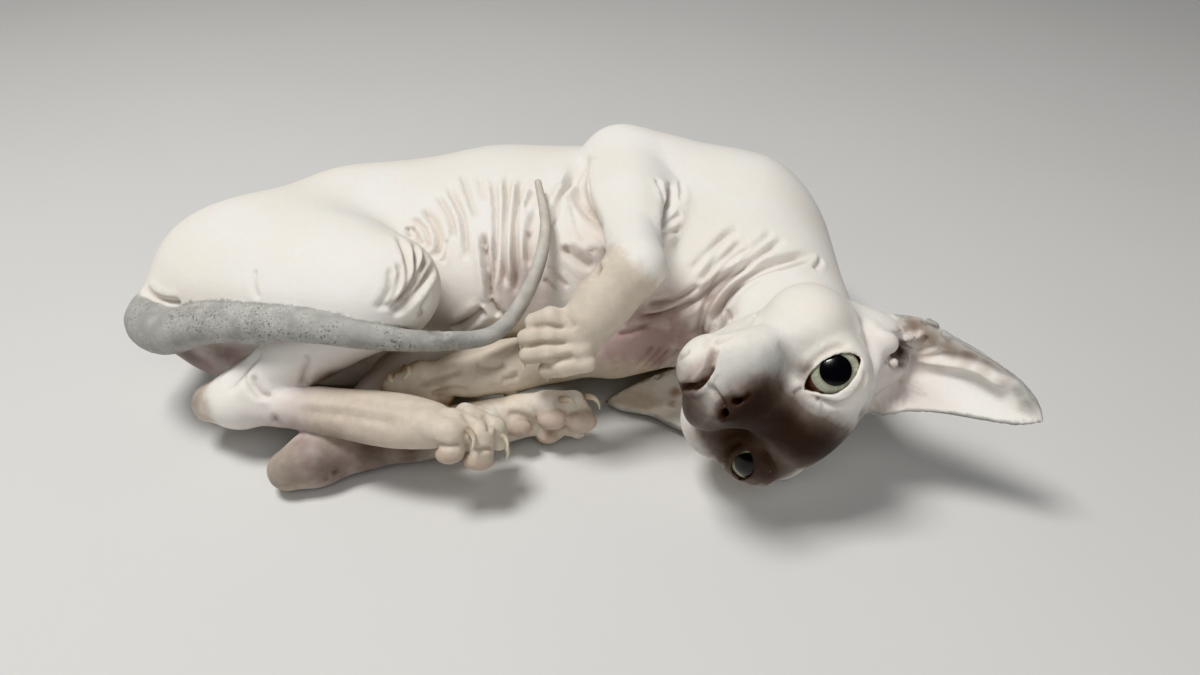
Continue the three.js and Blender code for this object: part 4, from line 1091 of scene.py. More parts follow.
def stain_skin(skin, tail, pads):
    """Lays the coat's markings on the skin, and painted shade in its hollows and shaded places, as soft masks"""
    p = skin.points
    head = to_head(p)
    tail_field, tail_line = tail
    # The tail's grey fades out over about 2 mm of the body round it, as painted contact shade where the tail lies on
    # the body
    on_tail = ramp(0.5 - (tail_field(p) - 1.0) / 2.0)
    nearest = nearest_of(tail_line)
    way = np.zeros(len(p))
    for i in np.flatnonzero(on_tail > 0):
        way[i] = nearest(p[i]) / (len(tail_line) - 1)
    skin.stains["smoke"] = on_tail * np.interp(way, [0, 0.08, 0.2, 0.55, 0.8, 1], [0.55, 0.85, 1, 0.9, 0.5, 0.35])
    skin.stains["fleck"] = on_tail * np.interp(way, [0, 0.06, 0.55, 0.75], [0.5, 1, 1, 0])
    skin.stains["sand"] = on_tail * np.interp(way, [0.6, 0.9], [0, 0.6])
    skin.detail = np.maximum(skin.detail, 4 * on_tail * (1 - on_tail))

    def stain(name, distance, strength=1.0, soft=6.0):
        skin.stain(name, np.where(on_tail > 0.5, 99, distance), strength, soft)

    # The right forepaw and the left one with its forearm, then the hind feet from below the hock, and the heels
    for side, start, radius in (("right", 0.45, 19), ("left", -0.7, 17)):
        wrist, knuckle = BONES["wrist_" + side], BONES["knuckle_" + side]
        stain("sand", rod(mix(wrist, knuckle, start), mix(wrist, knuckle, 1.6), radius, 20)(p), 0.85, 12)
        hock, toes = BONES["hock_" + side], BONES["ball_" + side]
        stain("sand", rod(mix(hock, toes, 0.55), mix(hock, toes, 1.5), 15, 19)(p), 0.8, 28)
        stain("sand", ball(BONES["heel_" + side], 13)(p), 0.75, 18)
    for sole in pads:
        stain("leather", sole(p) - 0.2, 0.9, 2.2)
        stain("blush", sole(p) - 3, 0.3, 6)

    # Face
    # The mask, deepened into painted shade on the head's underside and on its left side
    for strength, soft, middle, radii in MASK_AND_SHADE_PATCHES:
        stain("mask", egg(middle, radii)(head), strength, soft * MASK_SOFTNESS)
    for side in (1, -1):
        stain("ash", egg(vec(50, side * 10, -22), (11, 10, 8))(head), 0.75, 9)
        stain("ash", egg(vec(42, side * 16, -13), (15, 9, 13))(head), 0.8, 18)
        stain("ash", egg(vec(28, side * 26, -8), (14, 10, 12))(head), 0.4, 18)
        # Darker at each eye's inner corner
        stain("mask", ball(vec(31, side * 19, -4), 4)(head), 0.5, 9)
        # Painted shade inside the nostrils
        stain("dark", nostril(side)(head) - 0.3, 1.0, 1.2)
        rim = np.abs(lid_hole(side)(head))
        near_eye = size_of(head - eye_centre(side)) - EYE_RADIUS
        stain("rim", np.maximum(rim - 0.2, near_eye - 3.2), 1.0, 1.6)
    stain("mask", egg(vec(54, 0, -15.5), (6, 7.5, 5))(head), 0.8, 5)
    stain("blush", egg(vec(47, 0, -31), (8, 9, 4))(head), 0.6, 5)
    # Painted shade deep in the right ear's canal
    stain("dark", rod(in_head(-10, -37, 23), in_head(-20, -28, 13), 4, 5)(p), 0.9, 5)

    # Ears, whose edges are grey but for their roots
    stain("blush", egg(vec(-4, -34, 30), (14, 16, 20))(head), 0.3, 16)
    for sheet in EAR_SHEETS:
        for edge in (sheet["inner"], sheet["outer"]):
            line = smooth_line(edge, 100)[16:]
            near = np.flatnonzero(size_of(p - line[len(line) // 2]) < 60)
            gap = np.full(len(p), 99.0)
            gap[near] = reduce(np.minimum, (size_of(p[near] - spot) for spot in line))
            stain("smoke", gap - 1.2, 0.85, 2.4)

    for name, places in SPOTS.items():
        for pixel, width, strength in places:
            skin.stain_spot(name, pixel, width, strength)
    skin.detail = np.maximum(skin.detail, skin.stains["dark"])


# The dark mask of the face, partly painted shade: grey-brown pigment over the forehead, bridge and nose, darkened for
# the shade on the head's underside, and patches on its left side, which faces the floor, that are painted shade. Each:
# strength, softness, middle and radii in the head's frame
MASK_SOFTNESS = 1.9  # how far every patch is softened beyond its own softness
MASK_AND_SHADE_PATCHES = (
    (1.0, 15, vec(28, 1, 16), (24, 12, 19)),
    (1.0, 13, vec(40, 2, 2), (20, 12, 16)),
    (0.95, 11, vec(46, 0, -9), (20, 14, 12)),
    (0.9, 14, vec(38, 13, -6), (18, 12, 18)),
    (0.8, 18, vec(30, 20, 2), (20, 15, 22)),
    (0.7, 14, vec(44, 14, -26), (16, 13, 13)),
    (0.5, 14, vec(46, 9, -38), (12, 8, 9)),
    (0.45, 18, vec(12, -6, 32), (18, 18, 14)),
)
# Other stained places, among them painted shade: pixel, width in millimetres and strength
SPOTS = {
    "leather": [
        ((915, 325), 9, 0.7), ((930, 338), 9, 0.7), ((948, 348), 9, 0.65), ((966, 357), 8, 0.6), ((985, 368), 7, 0.5),
        ((1003, 380), 7, 0.5), ((925, 352), 9, 0.5), ((676, 392), 6, 0.8), ((673, 404), 5, 0.8),
    ],
    # Pink skin of the chest, belly and ears; the places on the buttock and the left hind foot are painted shade with
    # pink light thrown up from below
    "blush": [
        ((915, 365), 8, 0.4), ((940, 366), 6, 0.3), ((640, 350), 36, 1.0), ((672, 338), 26, 0.8),
        ((672, 312), 24, 0.6), ((712, 300), 18, 0.4), ((622, 352), 28, 0.9), ((655, 322), 26, 0.8),
        ((600, 262), 26, 0.35), ((470, 300), 34, 0.15), ((450, 322), 22, 0.2), ((522, 285), 26, 0.5),
        ((195, 362), 30, 0.9), ((225, 352), 20, 0.7), ((330, 430), 30, 0.3), ((350, 455), 60, 0.8),
        ((295, 465), 44, 0.8), ((370, 372), 40, 0.45),
    ],
    "smoke": [
        ((609, 402), 3, 0.5), ((1028, 405), 8, 0.6), ((1020, 392), 7, 0.5), ((912, 314), 6, 0.7),
        ((922, 320), 5, 0.6),
    ],
    # Painted shade under the left hind foot, by the heels, on the buttock and on the left leg
    "mask": [
        ((285, 470), 28, 0.42), ((330, 466), 30, 0.45), ((375, 456), 28, 0.48), ((410, 452), 22, 0.48),
        ((194, 402), 13, 0.42), ((204, 408), 11, 0.3), ((190, 358), 18, 0.45), ((215, 352), 14, 0.35),
        ((330, 375), 14, 0.35),
    ],
    # Painted shade in the right ear's canal and in small creases by the hind feet and the right eye
    "dark": [
        ((900, 352), 4.5, 1.0), ((905, 357), 5, 0.9), ((902, 364), 4, 0.9), ((900, 343), 3, 0.8),
        ((899, 330), 1.6, 0.7), ((899, 322), 1.4, 0.6), ((886, 362), 1.6, 0.6), ((275, 418), 3.4, 0.8),
        ((335, 472), 2.2, 0.8), ((326, 478), 2.2, 0.8), ((817, 400), 1.2, 0.8), ((821, 405), 1.0, 0.8),
    ],
}


def node_maker(tree):
    """A short way to add nodes to a tree: inputs are given by name or number, as values or as other nodes' sockets"""
    tree.nodes.clear()

    def make(kind, inputs=(), **settings):
        node = tree.nodes.new(kind)
        for key, value in settings.items():
            setattr(node, key, value)
        for key, value in dict(inputs).items():
            if isinstance(value, bpy.types.NodeSocket):
                tree.links.new(value, node.inputs[key])
            else:
                node.inputs[key].default_value = value
        return node

    return make


def material_maker(name):
    """A new material and the way to add nodes to it"""
    material = bpy.data.materials.new(name)
    material.use_nodes = True
    return material, node_maker(material.node_tree)


def coated(material, make, inputs):
    """Gives a material its one shader"""
    shader = make("ShaderNodeBsdfPrincipled", inputs)
    make("ShaderNodeOutputMaterial", {"Surface": shader.outputs[0]})
    return material


def map_range(make, value, low, high, start=0.0, stop=1.0, steps="LINEAR"):
    """A value's place between two thresholds, brought between two other values"""
    inputs = {"Value": value, "From Min": low, "From Max": high, "To Min": start, "To Max": stop}
    return make("ShaderNodeMapRange", inputs, interpolation_type=steps).outputs["Result"]


def soft_step(make, *settings):
    """A soft step from one value to another, as another value rises from one threshold to the next"""
    return map_range(make, *settings, steps="SMOOTHSTEP")


def new_group(name, kind, inputs, output):
    """A node group with inputs, each a name, kind and value, and one output; gives what its nodes are made from"""
    tree = bpy.data.node_groups.new(name, kind)
    for label, socket_kind, *value in inputs:
        socket = tree.interface.new_socket(label, in_out="INPUT", socket_type="NodeSocket" + socket_kind)
        if value:
            socket.default_value = value[0]
    label, socket_kind = output
    tree.interface.new_socket(label, in_out="OUTPUT", socket_type="NodeSocket" + socket_kind)
    make = node_maker(tree)
    return tree, make, make("NodeGroupInput").outputs


def mottle_group():
    """A mask of soft or sharp specks: the share of noise above a threshold"""
    found = bpy.data.node_groups.get("mottle")
    if found:
        return found
    settings = (("Scale", 100.0), ("Detail", 3.0), ("Threshold", 0.5), ("Softness", 0.1))
    inputs = [("Vector", "Vector"), *((label, "Float", value) for label, value in settings)]
    tree, make, given = new_group("mottle", "ShaderNodeTree", inputs, ("Mask", "Float"))
    noise = make("ShaderNodeTexNoise", {name: given[name] for name in ("Vector", "Scale", "Detail")}).outputs["Fac"]
    low, high = (
        make("ShaderNodeMath", {0: given["Threshold"], 1: given["Softness"]}, operation=way).outputs[0]
        for way in ("SUBTRACT", "ADD")
    )
    make("NodeGroupOutput", {"Mask": soft_step(make, noise, low, high)})
    return tree


class Paint:
    """Mixes colours and masks in a material"""

    def __init__(self, make, place):
        self.make = make
        self.place = place

    def mask(self, name):
        return self.make("ShaderNodeAttribute", attribute_name=name).outputs["Fac"]

    def mottle(self, scale, threshold, softness, detail=3.0):
        inputs = {"Vector": self.place, "Scale": scale, "Detail": detail, "Threshold": threshold, "Softness": softness}
        return self.make("ShaderNodeGroup", inputs, node_tree=mottle_group()).outputs["Mask"]

    def flecked(self, colour, factors, *specks):
        """A colour with specks of a lighter or darker one"""
        return self.over(self.mottle(*specks), colour, np.multiply(colour, factors).tolist())

    def sum(self, operation, a, b, clamp=False):
        return self.make("ShaderNodeMath", {0: a, 1: b}, operation=operation, use_clamp=clamp).outputs[0]

    def times(self, a, b):
        return self.sum("MULTIPLY", a, b, True)

    def ragged(self, mask, scale, amount, low=0.35, high=0.65):
        """A mask whose edge is broken up by noise"""
        noise = self.make("ShaderNodeTexNoise", {"Vector": self.place, "Scale": scale, "Detail": 4.0})
        swing = self.sum("MULTIPLY", self.sum("SUBTRACT", noise.outputs["Fac"], 0.5), amount)
        return soft_step(self.make, self.sum("ADD", mask, swing), low, high)

    def over(self, share, under, colour, blend="MIX"):
        """A colour laid over another by a share"""
        under, colour = (c if isinstance(c, bpy.types.NodeSocket) else (*c, 1) for c in (under, colour))
        inputs = {0: share, 6: under, 7: colour}
        return self.make("ShaderNodeMix", inputs, data_type="RGBA", blend_type=blend).outputs[2]


def skin_material():
    """Warm bare skin: cream with sandy, pink, grey and brown places, with painted shade dark in its folds and hollows,
    deepening the brown and pink where the body lies in shade
    """
    colours = bpy.context.scene.cat_colours
    material, make = material_maker("hairless_skin")
    place = make("ShaderNodeTexCoord").outputs["Object"]
    paint = Paint(make, place)
    tone = lambda name: tuple(getattr(colours, name))
    colour = paint.flecked(tone("cream"), (0.98, 0.95, 0.90), 32, 0.5, 0.25)
    # Pink skin, and painted shade with pink light from below on the buttock and the left hind foot
    blush = paint.times(paint.mask("blush"), paint.sum("ADD", paint.mottle(110, 0.5, 0.5), 0.75))
    colour = paint.over(blush, colour, tone("blush"))
    sand = paint.ragged(paint.mask("sand"), 260, 0.55, 0.2, 0.7)
    colour = paint.over(paint.times(sand, 0.85), colour, paint.flecked(tone("sand"), 1.2, 190, 0.5, 0.3, 4.0))
    ash = paint.ragged(paint.mask("ash"), 180, 0.4, 0.1, 0.9)
    colour = paint.over(ash, colour, tone("ash"))
    # The mask: the face's pigment deepened into painted shade, and brown painted shade on the shaded hind legs where it
    # is weak
    mask = paint.ragged(paint.mask("mask"), 120, 0.3, 0.05, 0.95)
    edge_and_shade = paint.over(paint.sum("MULTIPLY", mask, 2.0, True), colour, tone("mask_edge_and_shade"))
    colour = paint.over(paint.sum("POWER", mask, 1.3), edge_and_shade, tone("mask"))
    smoke = paint.ragged(paint.mask("smoke"), 240, 0.35, 0.1, 0.75)
    colour = paint.over(smoke, colour, paint.flecked(tone("smoke"), 1.3, 150, 0.5, 0.2))
    banded = paint.times(paint.mask("fleck"), paint.mottle(75, 0.47, 0.1))
    light = paint.times(banded, paint.mottle(900, 0.6, 0.05, 2.0))
    dark = paint.times(banded, paint.sum("SUBTRACT", 1.0, paint.mottle(850, 0.38, 0.05, 2.0)))
    colour = paint.over(paint.times(light, 0.5), colour, (0.56, 0.56, 0.52))
    colour = paint.over(paint.times(dark, 0.65), colour, (0.09, 0.10, 0.09))
    leather = paint.ragged(paint.mask("leather"), 300, 0.25, 0.1, 0.9)
    colour = paint.over(leather, colour, paint.flecked(tone("leather"), 1.2, 200, 0.5, 0.4))
    # Painted shade at the bottom of the folds, multiplied into the colour
    crease = paint.over(1.0, colour, tone("crease"), "MULTIPLY")
    colour = paint.over(paint.times(paint.mask("crease"), 0.5), colour, crease)
    # Painted shade in the ear's canal, the nostrils and other small hollows
    colour = paint.over(paint.times(paint.mask("dark"), 0.85), colour, (0.045, 0.025, 0.02))
    colour = paint.over(paint.ragged(paint.mask("rim"), 300, 0.1, 0.3, 0.7), colour, (0.03, 0.02, 0.018))

    grain = make("ShaderNodeTexVoronoi", {"Vector": place, "Scale": 1400.0}, feature="DISTANCE_TO_EDGE")
    fine = make("ShaderNodeTexNoise", {"Vector": place, "Scale": 520.0, "Detail": 5.0, "Distortion": 0.6})
    height = paint.sum("ADD", paint.sum("MULTIPLY", grain.outputs["Distance"], 0.5), fine.outputs["Fac"])
    bump = make("ShaderNodeBump", {"Height": height, "Strength": 0.35, "Distance": 0.0004})
    inputs = {
        "Base Color": colour,
        "Roughness": map_range(make, leather, 0.0, 1.0, 0.62, 0.48),
        "Normal": bump.outputs["Normal"],
        "Specular IOR Level": 0.32,
        "Subsurface Weight": 0.12,
        "Subsurface Radius": (1.0, 0.4, 0.25),
        "Subsurface Scale": 0.0012,
        "Sheen Weight": 0.08,
        "Sheen Roughness": 0.45,
    }
    return coated(material, make, inputs)


def eye_material():
    """A wet eye: a wide black pupil in a pale green ring with fine rays"""
    scene = bpy.context.scene
    material, make = material_maker("wet_eye")
    front = make("ShaderNodeAttribute", attribute_name="front").outputs["Vector"]
    paint = Paint(make, front)
    ring = make("ShaderNodeVectorMath", {0: front}, operation="LENGTH").outputs["Value"]
    ray_way = make("ShaderNodeVectorMath", {0: front}, operation="NORMALIZE").outputs["Vector"]
    rays = make("ShaderNodeTexNoise", {"Vector": ray_way, "Scale": 14.0, "Detail": 6.0, "Roughness": 0.7})
    pupil = scene.cat_sizes.pupil_radius * METRE
    iris = scene.cat_sizes.iris_radius * METRE
    green = tuple(scene.cat_colours.iris)

    def within_ring(edge, soft):
        return soft_step(make, ring, edge - soft, edge + soft, 1.0, 0.0)

    streaks = map_range(make, rays.outputs["Fac"], 0.35, 0.65)
    colour = paint.over(streaks, [c * 0.72 for c in green], [min(1, c * 1.25) for c in green])
    inner = within_ring(pupil + 0.5, 0.7)
    colour = paint.over(paint.times(inner, 0.8), colour, [c * 0.35 for c in green])
    # A dark brown limbal ring and, beyond it, the white of the eye, painted in the shade of the lids
    colour = paint.over(within_ring(iris, 0.25), (0.10, 0.06, 0.05), colour)
    colour = paint.over(within_ring(pupil, 0.12), colour, (0.003, 0.003, 0.004))
    wet = {"Coat Weight": 1.0, "Coat Roughness": 0.015, "Coat IOR": 1.38}
    return coated(material, make, {"Base Color": colour, "Roughness": 0.3, **wet})


def horn_material():
    """Translucent-looking claws, browner at their roots"""
    horn = tuple(bpy.context.scene.cat_colours.horn)
    material, make = material_maker("claw_horn")
    paint = Paint(make, make("ShaderNodeTexCoord").outputs["Object"])
    colour = paint.flecked(horn, 0.8, 900, 0.5, 0.2)
    colour = paint.over(paint.times(paint.mask("root"), 0.75), colour, (0.30, 0.18, 0.12))
    return coated(material, make, {"Base Color": colour, "Roughness": 0.32, "Coat Weight": 0.3})


def floor_material():
    """A plain pale matt stage"""
    floor = tuple(bpy.context.scene.cat_colours.floor)
    material, make = material_maker("pale_floor")
    paint = Paint(make, make("ShaderNodeTexCoord").outputs["Object"])
    return coated(material, make, {"Base Color": paint.flecked(floor, 0.97, 6, 0.5, 0.4), "Roughness": 0.9})


FLESH_BOX = (-212, -84, -12), (168, 148, 110)  # two corners of the box that the flesh is sampled in
FLESH_NODES = [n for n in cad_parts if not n.startswith(("eye", "claw"))]
CLAW_NODES = [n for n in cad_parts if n.startswith("claw")]


def bare_skin(step, ear_thickness):
    """The skin before its folds: points in millimetres and outward quads"""
    body, (tail, _) = flesh_form(), tail_form()
    flesh = Flesh(lambda p: smooth(body(p), tail(p), 1.0), *FLESH_BOX, step)
    for ear in EAR_SHEETS:
        flesh.join_sheet(*ear_sheet(**ear, thickness=ear_thickness), 3.0)
    shape_ear_roots(flesh)
    return flesh.surface()


def shape_ear_roots(flesh):
    """Cuts the ear canals and sets the small lobes round them"""
    for centre, radius, k, hollow, form in EAR_DETAILS:
        flesh.shape(lambda p: form(to_head(p)), in_head(*centre), radius, k, hollow)


# Each: its middle in the head's frame, how far it reaches, how softly it melts in, whether it is cut out, its form
EAR_DETAILS = (
    ((-3, -41, 28), 24, 2.0, True, egg(vec(-2, -40, 30), (11.5, 9, 15))),
    ((-12, -36, 22), 22, 2.0, True, rod(vec(-6, -37, 27), vec(-20, -27, 15), 3.8, 3.0)),
    ((0, -38, 15.5), 16, 2.5, False, egg(vec(-0.5, -38, 15.5), (3.6, 4.4, 4.6))),
    ((0, -34, 22.3), 12, 1.2, False, ball(vec(0, -34, 22.6), 1.9)),
    ((-7, -47, 13), 14, 0.8, True, rod(vec(-3, -48, 12), vec(-10, -44, 16), 0.9, 0.9)),
    ((1, -32.4, 20), 12, 0.8, True, rod(vec(3, -33.2, 19.6), vec(0, -32.6, 22), 0.8, 0.7)),
)
NIPPLES = ((486, 247), (529, 232), (564, 246), (419, 313))


class MakeSkin(bpy.types.Operator):
    """Makes the cat's skin with its folds and markings"""

    bl_idname = "cat.make_skin"
    bl_label = "Make Skin"

    def execute(self, context):
        sizes = context.scene.cat_sizes
        coarse = 1
        points, quads = bare_skin(sizes.voxel * METRE * coarse, sizes.ear_thickness * METRE)
        skin = Skin(points, quads, sizes.fold_depth)
        lay_folds(skin)
        for pixel in NIPPLES:
            spot, _ = skin.seen(pixel)
            if spot is not None:
                skin.raise_spot(spot, 1.5, 1.3)
                skin.stain("blush", size_of(skin.points - vec(*spot)) - 1.6, 0.5, 2)
        stain_skin(skin, tail_form(), [soles for _, soles, _ in all_paws().values()])
        folded = skin.folded() + BUILD_ORIGIN
        piece = place("skin", new_mesh("skin", folded, quads))
        self.thin_out(piece, skin.fine_places(), min(1, sizes.skin_faces / (2 * len(quads))))
        nearest = nearest_of((folded * MM).tolist())
        source = [nearest(spot) for spot in points_of(piece.data).tolist()]
        for name, values in skin.stains.items():
            layer = piece.data.attributes.new(name, "FLOAT", "POINT")
            layer.data.foreach_set("value", values[source].astype(np.float32))
        piece.data.materials.append(skin_material())
        deliver(piece, "skin", *FLESH_NODES)
        return {"FINISHED"}

    @staticmethod
    def thin_out(piece, fine, ratio):
        """Keeps a share of the triangles, most of them in the fine places"""
        group = piece.vertex_groups.new(name="fine")
        for share in np.unique(fine[fine > 0]):
            group.add(np.flatnonzero(fine == share).tolist(), float(share), "REPLACE")
        thin = piece.modifiers.new("thin", "DECIMATE")
        thin.ratio = ratio
        thin.vertex_group = group.name
        thin.invert_vertex_group = True
        thin.vertex_group_factor = 0.6
        finished(piece)


GAZE = {-1: vec(0.91, -0.409, -0.066), 1: vec(0.98, 0.13, 0.10)}  # where each eye looks, in the head's frame
DOME = 0.06  # how far the clear front stands out, as a share of the eye's radius
DOME_ANGLE = 0.8  # how far it reaches from the middle of the front, in radians
BEHIND = 40  # front coordinates of the back half are moved this many times farther out, away from the iris


def eyeball(side, rings=56, sides=72):
    """Points, faces and front coordinates of an eyeball whose clear front is domed"""
    look = unit(GAZE[side])
    e1 = unit(np.cross(vec(0, 0, 1), look))
    e2 = np.cross(look, e1)
    points, fronts = [], []
    for i in range(rings + 1):
        angle = math.pi * i / rings
        swell = 1 + DOME * max(0, 1 - (angle / DOME_ANGLE) ** 2)
        for j in range(sides if 0 < i < rings else 1):
            turn = 2 * math.pi * j / sides
            x, y = math.cos(turn) * math.sin(angle), math.sin(turn) * math.sin(angle)
            points.append((look * math.cos(angle) + e1 * x + e2 * y) * EYE_RADIUS * swell)
            far = BEHIND if angle > math.pi / 2 else 1
            fronts.append((x * EYE_RADIUS * far, y * EYE_RADIUS * far, 0))
    faces = []
    last = 1 + (rings - 2) * sides
    for j in range(sides):
        k = (j + 1) % sides
        faces += [(0, 1 + j, 1 + k), (last + k, last + j, len(points) - 1)]
        for i in range(rings - 2):
            a, b = 1 + i * sides + j, 1 + i * sides + k
            faces.append((a, a + sides, b + sides, b))
    spots = (np.array(points, np.float32) + eye_centre(side)) @ HEAD_AXES + HEAD_PLACE + BUILD_ORIGIN
    return spots * MM, faces, fronts


class MakeEyes(bpy.types.Operator):
    """Makes the two eyeballs, each with a domed clear front over its iris"""

    bl_idname = "cat.make_eyes"
    bl_label = "Make Eyes"

    def execute(self, context):
        material = eye_material()
        for name, side in (("left", 1), ("right", -1)):
            spots, faces, fronts = eyeball(side)
            mesh = bpy.data.meshes.new("eyeball_" + name)
            mesh.from_pydata(spots.tolist(), [], faces)
            layer = mesh.attributes.new("front", "FLOAT_VECTOR", "POINT")
            layer.data.foreach_set("vector", np.array(fronts, np.float32).ravel())
            mesh.materials.append(material)
            deliver(place("eyeball_" + name, mesh), "eye", "eye_" + name)
        return {"FINISHED"}


def claw_tree(material):
    """Sets a hooked, tapering claw on each point, turned and stretched by the point's attributes"""
    inputs = (
        ("Points", "Geometry"),
        ("Root Radius", "Float", 0.0014),
        ("Rise", "Float", 0.002),
        ("Crown", "Float", 0.0032),
        ("Drop", "Float", -0.0024),
        ("Steps", "Int", 14),
        ("Sides", "Int", 14),
    )
    tree, make, given = new_group("claws", "GeometryNodeTree", inputs, ("Claws", "Geometry"))
    start = make("ShaderNodeCombineXYZ", {"Z": given["Rise"]}).outputs[0]
    top = make("ShaderNodeCombineXYZ", {"X": 0.8, "Z": given["Crown"]}).outputs[0]
    end = make("ShaderNodeCombineXYZ", {"X": 1.0, "Z": given["Drop"]}).outputs[0]
    inputs = {"Resolution": given["Steps"], "Start": start, "Middle": top, "End": end}
    spine = make("GeometryNodeCurveQuadraticBezier", inputs).outputs["Curve"]
    turn = make("GeometryNodeInputNamedAttribute", {"Name": "turn"}, data_type="FLOAT_VECTOR").outputs["Attribute"]
    turn = make("FunctionNodeEulerToRotation", {"Euler": turn}).outputs["Rotation"]
    reach = make("GeometryNodeInputNamedAttribute", {"Name": "reach"}, data_type="FLOAT").outputs["Attribute"]
    stretch = make("ShaderNodeCombineXYZ", {"X": reach, "Y": 1.0, "Z": 1.0}).outputs[0]
    inputs = {"Points": given["Points"], "Instance": spine, "Rotation": turn, "Scale": stretch}
    spines = make("GeometryNodeInstanceOnPoints", inputs).outputs["Instances"]
    spines = make("GeometryNodeRealizeInstances", {"Geometry": spines}).outputs["Geometry"]
    part = make("GeometryNodeSplineParameter").outputs["Factor"]
    inputs = {"Geometry": spines, "Name": "root", "Value": map_range(make, part, 0.0, 0.5, 1.0, 0.0)}
    spines = make("GeometryNodeStoreNamedAttribute", inputs, data_type="FLOAT", domain="POINT").outputs["Geometry"]
    thinning = make("ShaderNodeMath", {0: part, 1: 1.6}, operation="POWER").outputs[0]
    taper = map_range(make, thinning, 0.0, 1.0, 1.0, 0.12)
    inputs = {"Resolution": given["Sides"], "Radius": given["Root Radius"]}
    rim = make("GeometryNodeCurvePrimitiveCircle", inputs).outputs["Curve"]
    inputs = {"Curve": spines, "Profile Curve": rim, "Scale": taper, "Fill Caps": True}
    claws = make("GeometryNodeCurveToMesh", inputs).outputs["Mesh"]
    claws = make("GeometryNodeRealizeInstances", {"Geometry": claws}).outputs["Geometry"]
    claws = make("GeometryNodeSetMaterial", {"Geometry": claws, "Material": material}).outputs["Geometry"]
    make("NodeGroupOutput", {"Claws": claws})
    return tree


CLAW_STEP = 0.3  # how far the claw's root is moved forward from its place in the toe


class MakeClaws(bpy.types.Operator):
    """Makes the sixteen claws"""

    bl_idname = "cat.make_claws"
    bl_label = "Make Claws"

    def execute(self, context):
        sizes = context.scene.cat_sizes
        spots, turns, reaches = [], [], []
        for limb, (_, _, tips) in all_paws().items():
            for tip, along, top in tips:
                across = unit(np.cross(top, along))
                turn = Matrix(np.stack([along, across, np.cross(along, across)], 1).tolist())
                spots.append((tip + along * CLAW_STEP + BUILD_ORIGIN) * MM)
                turns.append(tuple(turn.to_euler()))
                reaches.append(sizes.hind_claw if limb.startswith("hind") else sizes.fore_claw)
        mesh = bpy.data.meshes.new("claws")
        mesh.from_pydata([tuple(s) for s in spots], [], [])
        mesh.attributes.new("turn", "FLOAT_VECTOR", "POINT").data.foreach_set("vector", np.ravel(turns))
        mesh.attributes.new("reach", "FLOAT", "POINT").data.foreach_set("value", reaches)
        piece = place("claws", mesh)
        modifier = piece.modifiers.new("claws", "NODES")
        modifier.node_group = claw_tree(horn_material())
        for item in modifier.node_group.interface.items_tree:
            if item.in_out == "INPUT" and item.name == "Root Radius":
                modifier[item.identifier] = sizes.claw_radius
        finished(piece)
        deliver(piece, "claw", *CLAW_NODES)
        return {"FINISHED"}


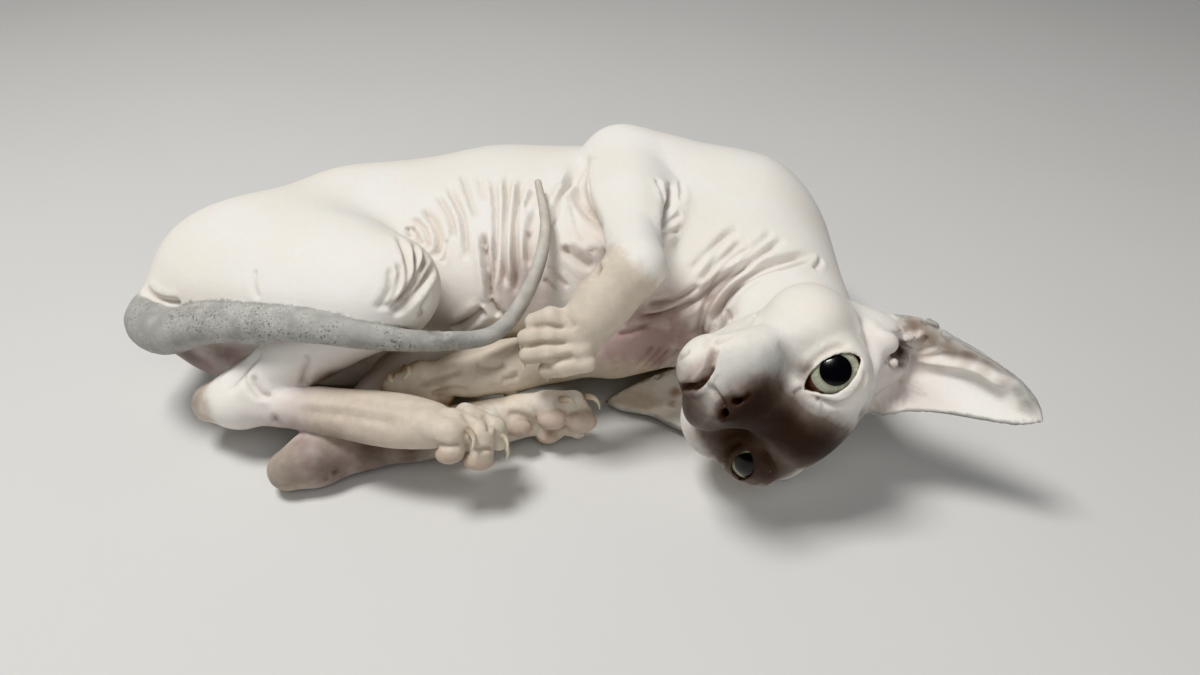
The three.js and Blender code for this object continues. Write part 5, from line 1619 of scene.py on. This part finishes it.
class MakeStage(bpy.types.Operator):
    """Makes the floor, the soft studio lights and the camera"""

    bl_idname = "cat.make_stage"
    bl_label = "Make Stage"

    def execute(self, context):
        scene = context.scene
        mesh = bpy.data.meshes.new("floor")
        corners = [(x * HALF_FLOOR, y * HALF_FLOOR, 0) for x, y in ((-1, -1), (1, -1), (1, 1), (-1, 1))]
        mesh.from_pydata(corners, [], [(0, 1, 2, 3)])
        mesh.materials.append(floor_material())
        place("floor", mesh)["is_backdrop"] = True
        for name, spot, size, power, colour in LIGHTS:
            data = bpy.data.lights.new(name, "AREA")
            data.size = size
            data.energy = power
            data.color = colour
            light = bpy.data.objects.new(name, data)
            light.visible_glossy = name == "key"
            scene.collection.objects.link(light)
            light.location = spot
            light.rotation_euler = (Vector(LIT_SPOT) - Vector(spot)).to_track_quat("-Z", "Y").to_euler()
        world = bpy.data.worlds.new("studio")
        world.use_nodes = True
        sky = world.node_tree.nodes["Background"].inputs
        sky["Color"].default_value, sky["Strength"].default_value = SKY
        scene.world = world
        scene.view_settings.view_transform = "Khronos PBR Neutral"
        data = bpy.data.cameras.new("camera")
        data.lens = data.sensor_width * FOCAL_PIXELS / PICTURE[0]
        camera = bpy.data.objects.new("camera", data)
        scene.collection.objects.link(camera)
        camera.location = Vector((CAMERA_PLACE + BUILD_ORIGIN) * MM)
        camera.rotation_euler = (math.pi / 2 - CAMERA_TILT, 0, 0)
        scene.camera = camera
        return {"FINISHED"}


HALF_FLOOR = 4  # half the side of the stage, in metres
# Each light: its name, place, size, power and colour
LIGHTS = (
    ("key", (-0.4, -0.1, 1.25), 0.4, 14, (1.0, 0.985, 0.96)),
    ("fill", (0.2, -1.1, 0.9), 1.2, 6.5, (0.98, 0.99, 1.0)),
)
LIT_SPOT = (0, 0, 0.05)  # where the lights point
SKY = (0.93, 0.94, 0.96, 1), 0.15  # colour and strength


class CatPanel(bpy.types.Panel):
    """Lists the cat's pieces"""

    bl_idname = "VIEW3D_PT_cat"
    bl_label = "Sphynx Cat"
    bl_space_type = "VIEW_3D"
    bl_region_type = "UI"
    bl_category = "Cat"

    def draw(self, context):
        for settings in (context.scene.cat_sizes, context.scene.cat_colours):
            for name in settings.__annotations__:
                self.layout.prop(settings, name)
        for piece in PIECES:
            self.layout.operator(piece.bl_idname)


PIECES = (MakeSkin, MakeEyes, MakeClaws, MakeStage)
CLASSES = (CatSizes, CatColours, *PIECES, CatPanel)


def register():
    for c in CLASSES:
        bpy.utils.register_class(c)
    bpy.types.Scene.cat_sizes = PointerProperty(type=CatSizes)
    bpy.types.Scene.cat_colours = PointerProperty(type=CatColours)


def unregister():
    del bpy.types.Scene.cat_colours
    del bpy.types.Scene.cat_sizes
    for c in reversed(CLASSES):
        bpy.utils.unregister_class(c)


def main():
    """Builds the cat on its stage"""
    register()
    bpy.ops.cat.make_skin()
    bpy.ops.cat.make_eyes()
    bpy.ops.cat.make_claws()
    bpy.ops.cat.make_stage()
    boxes = {"cad": CAD_BOX, "visual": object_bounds()}
    {name: [list(map(float, corner)) for corner in box] for name, box in boxes.items()}


if __name__ == "__main__":
    main()
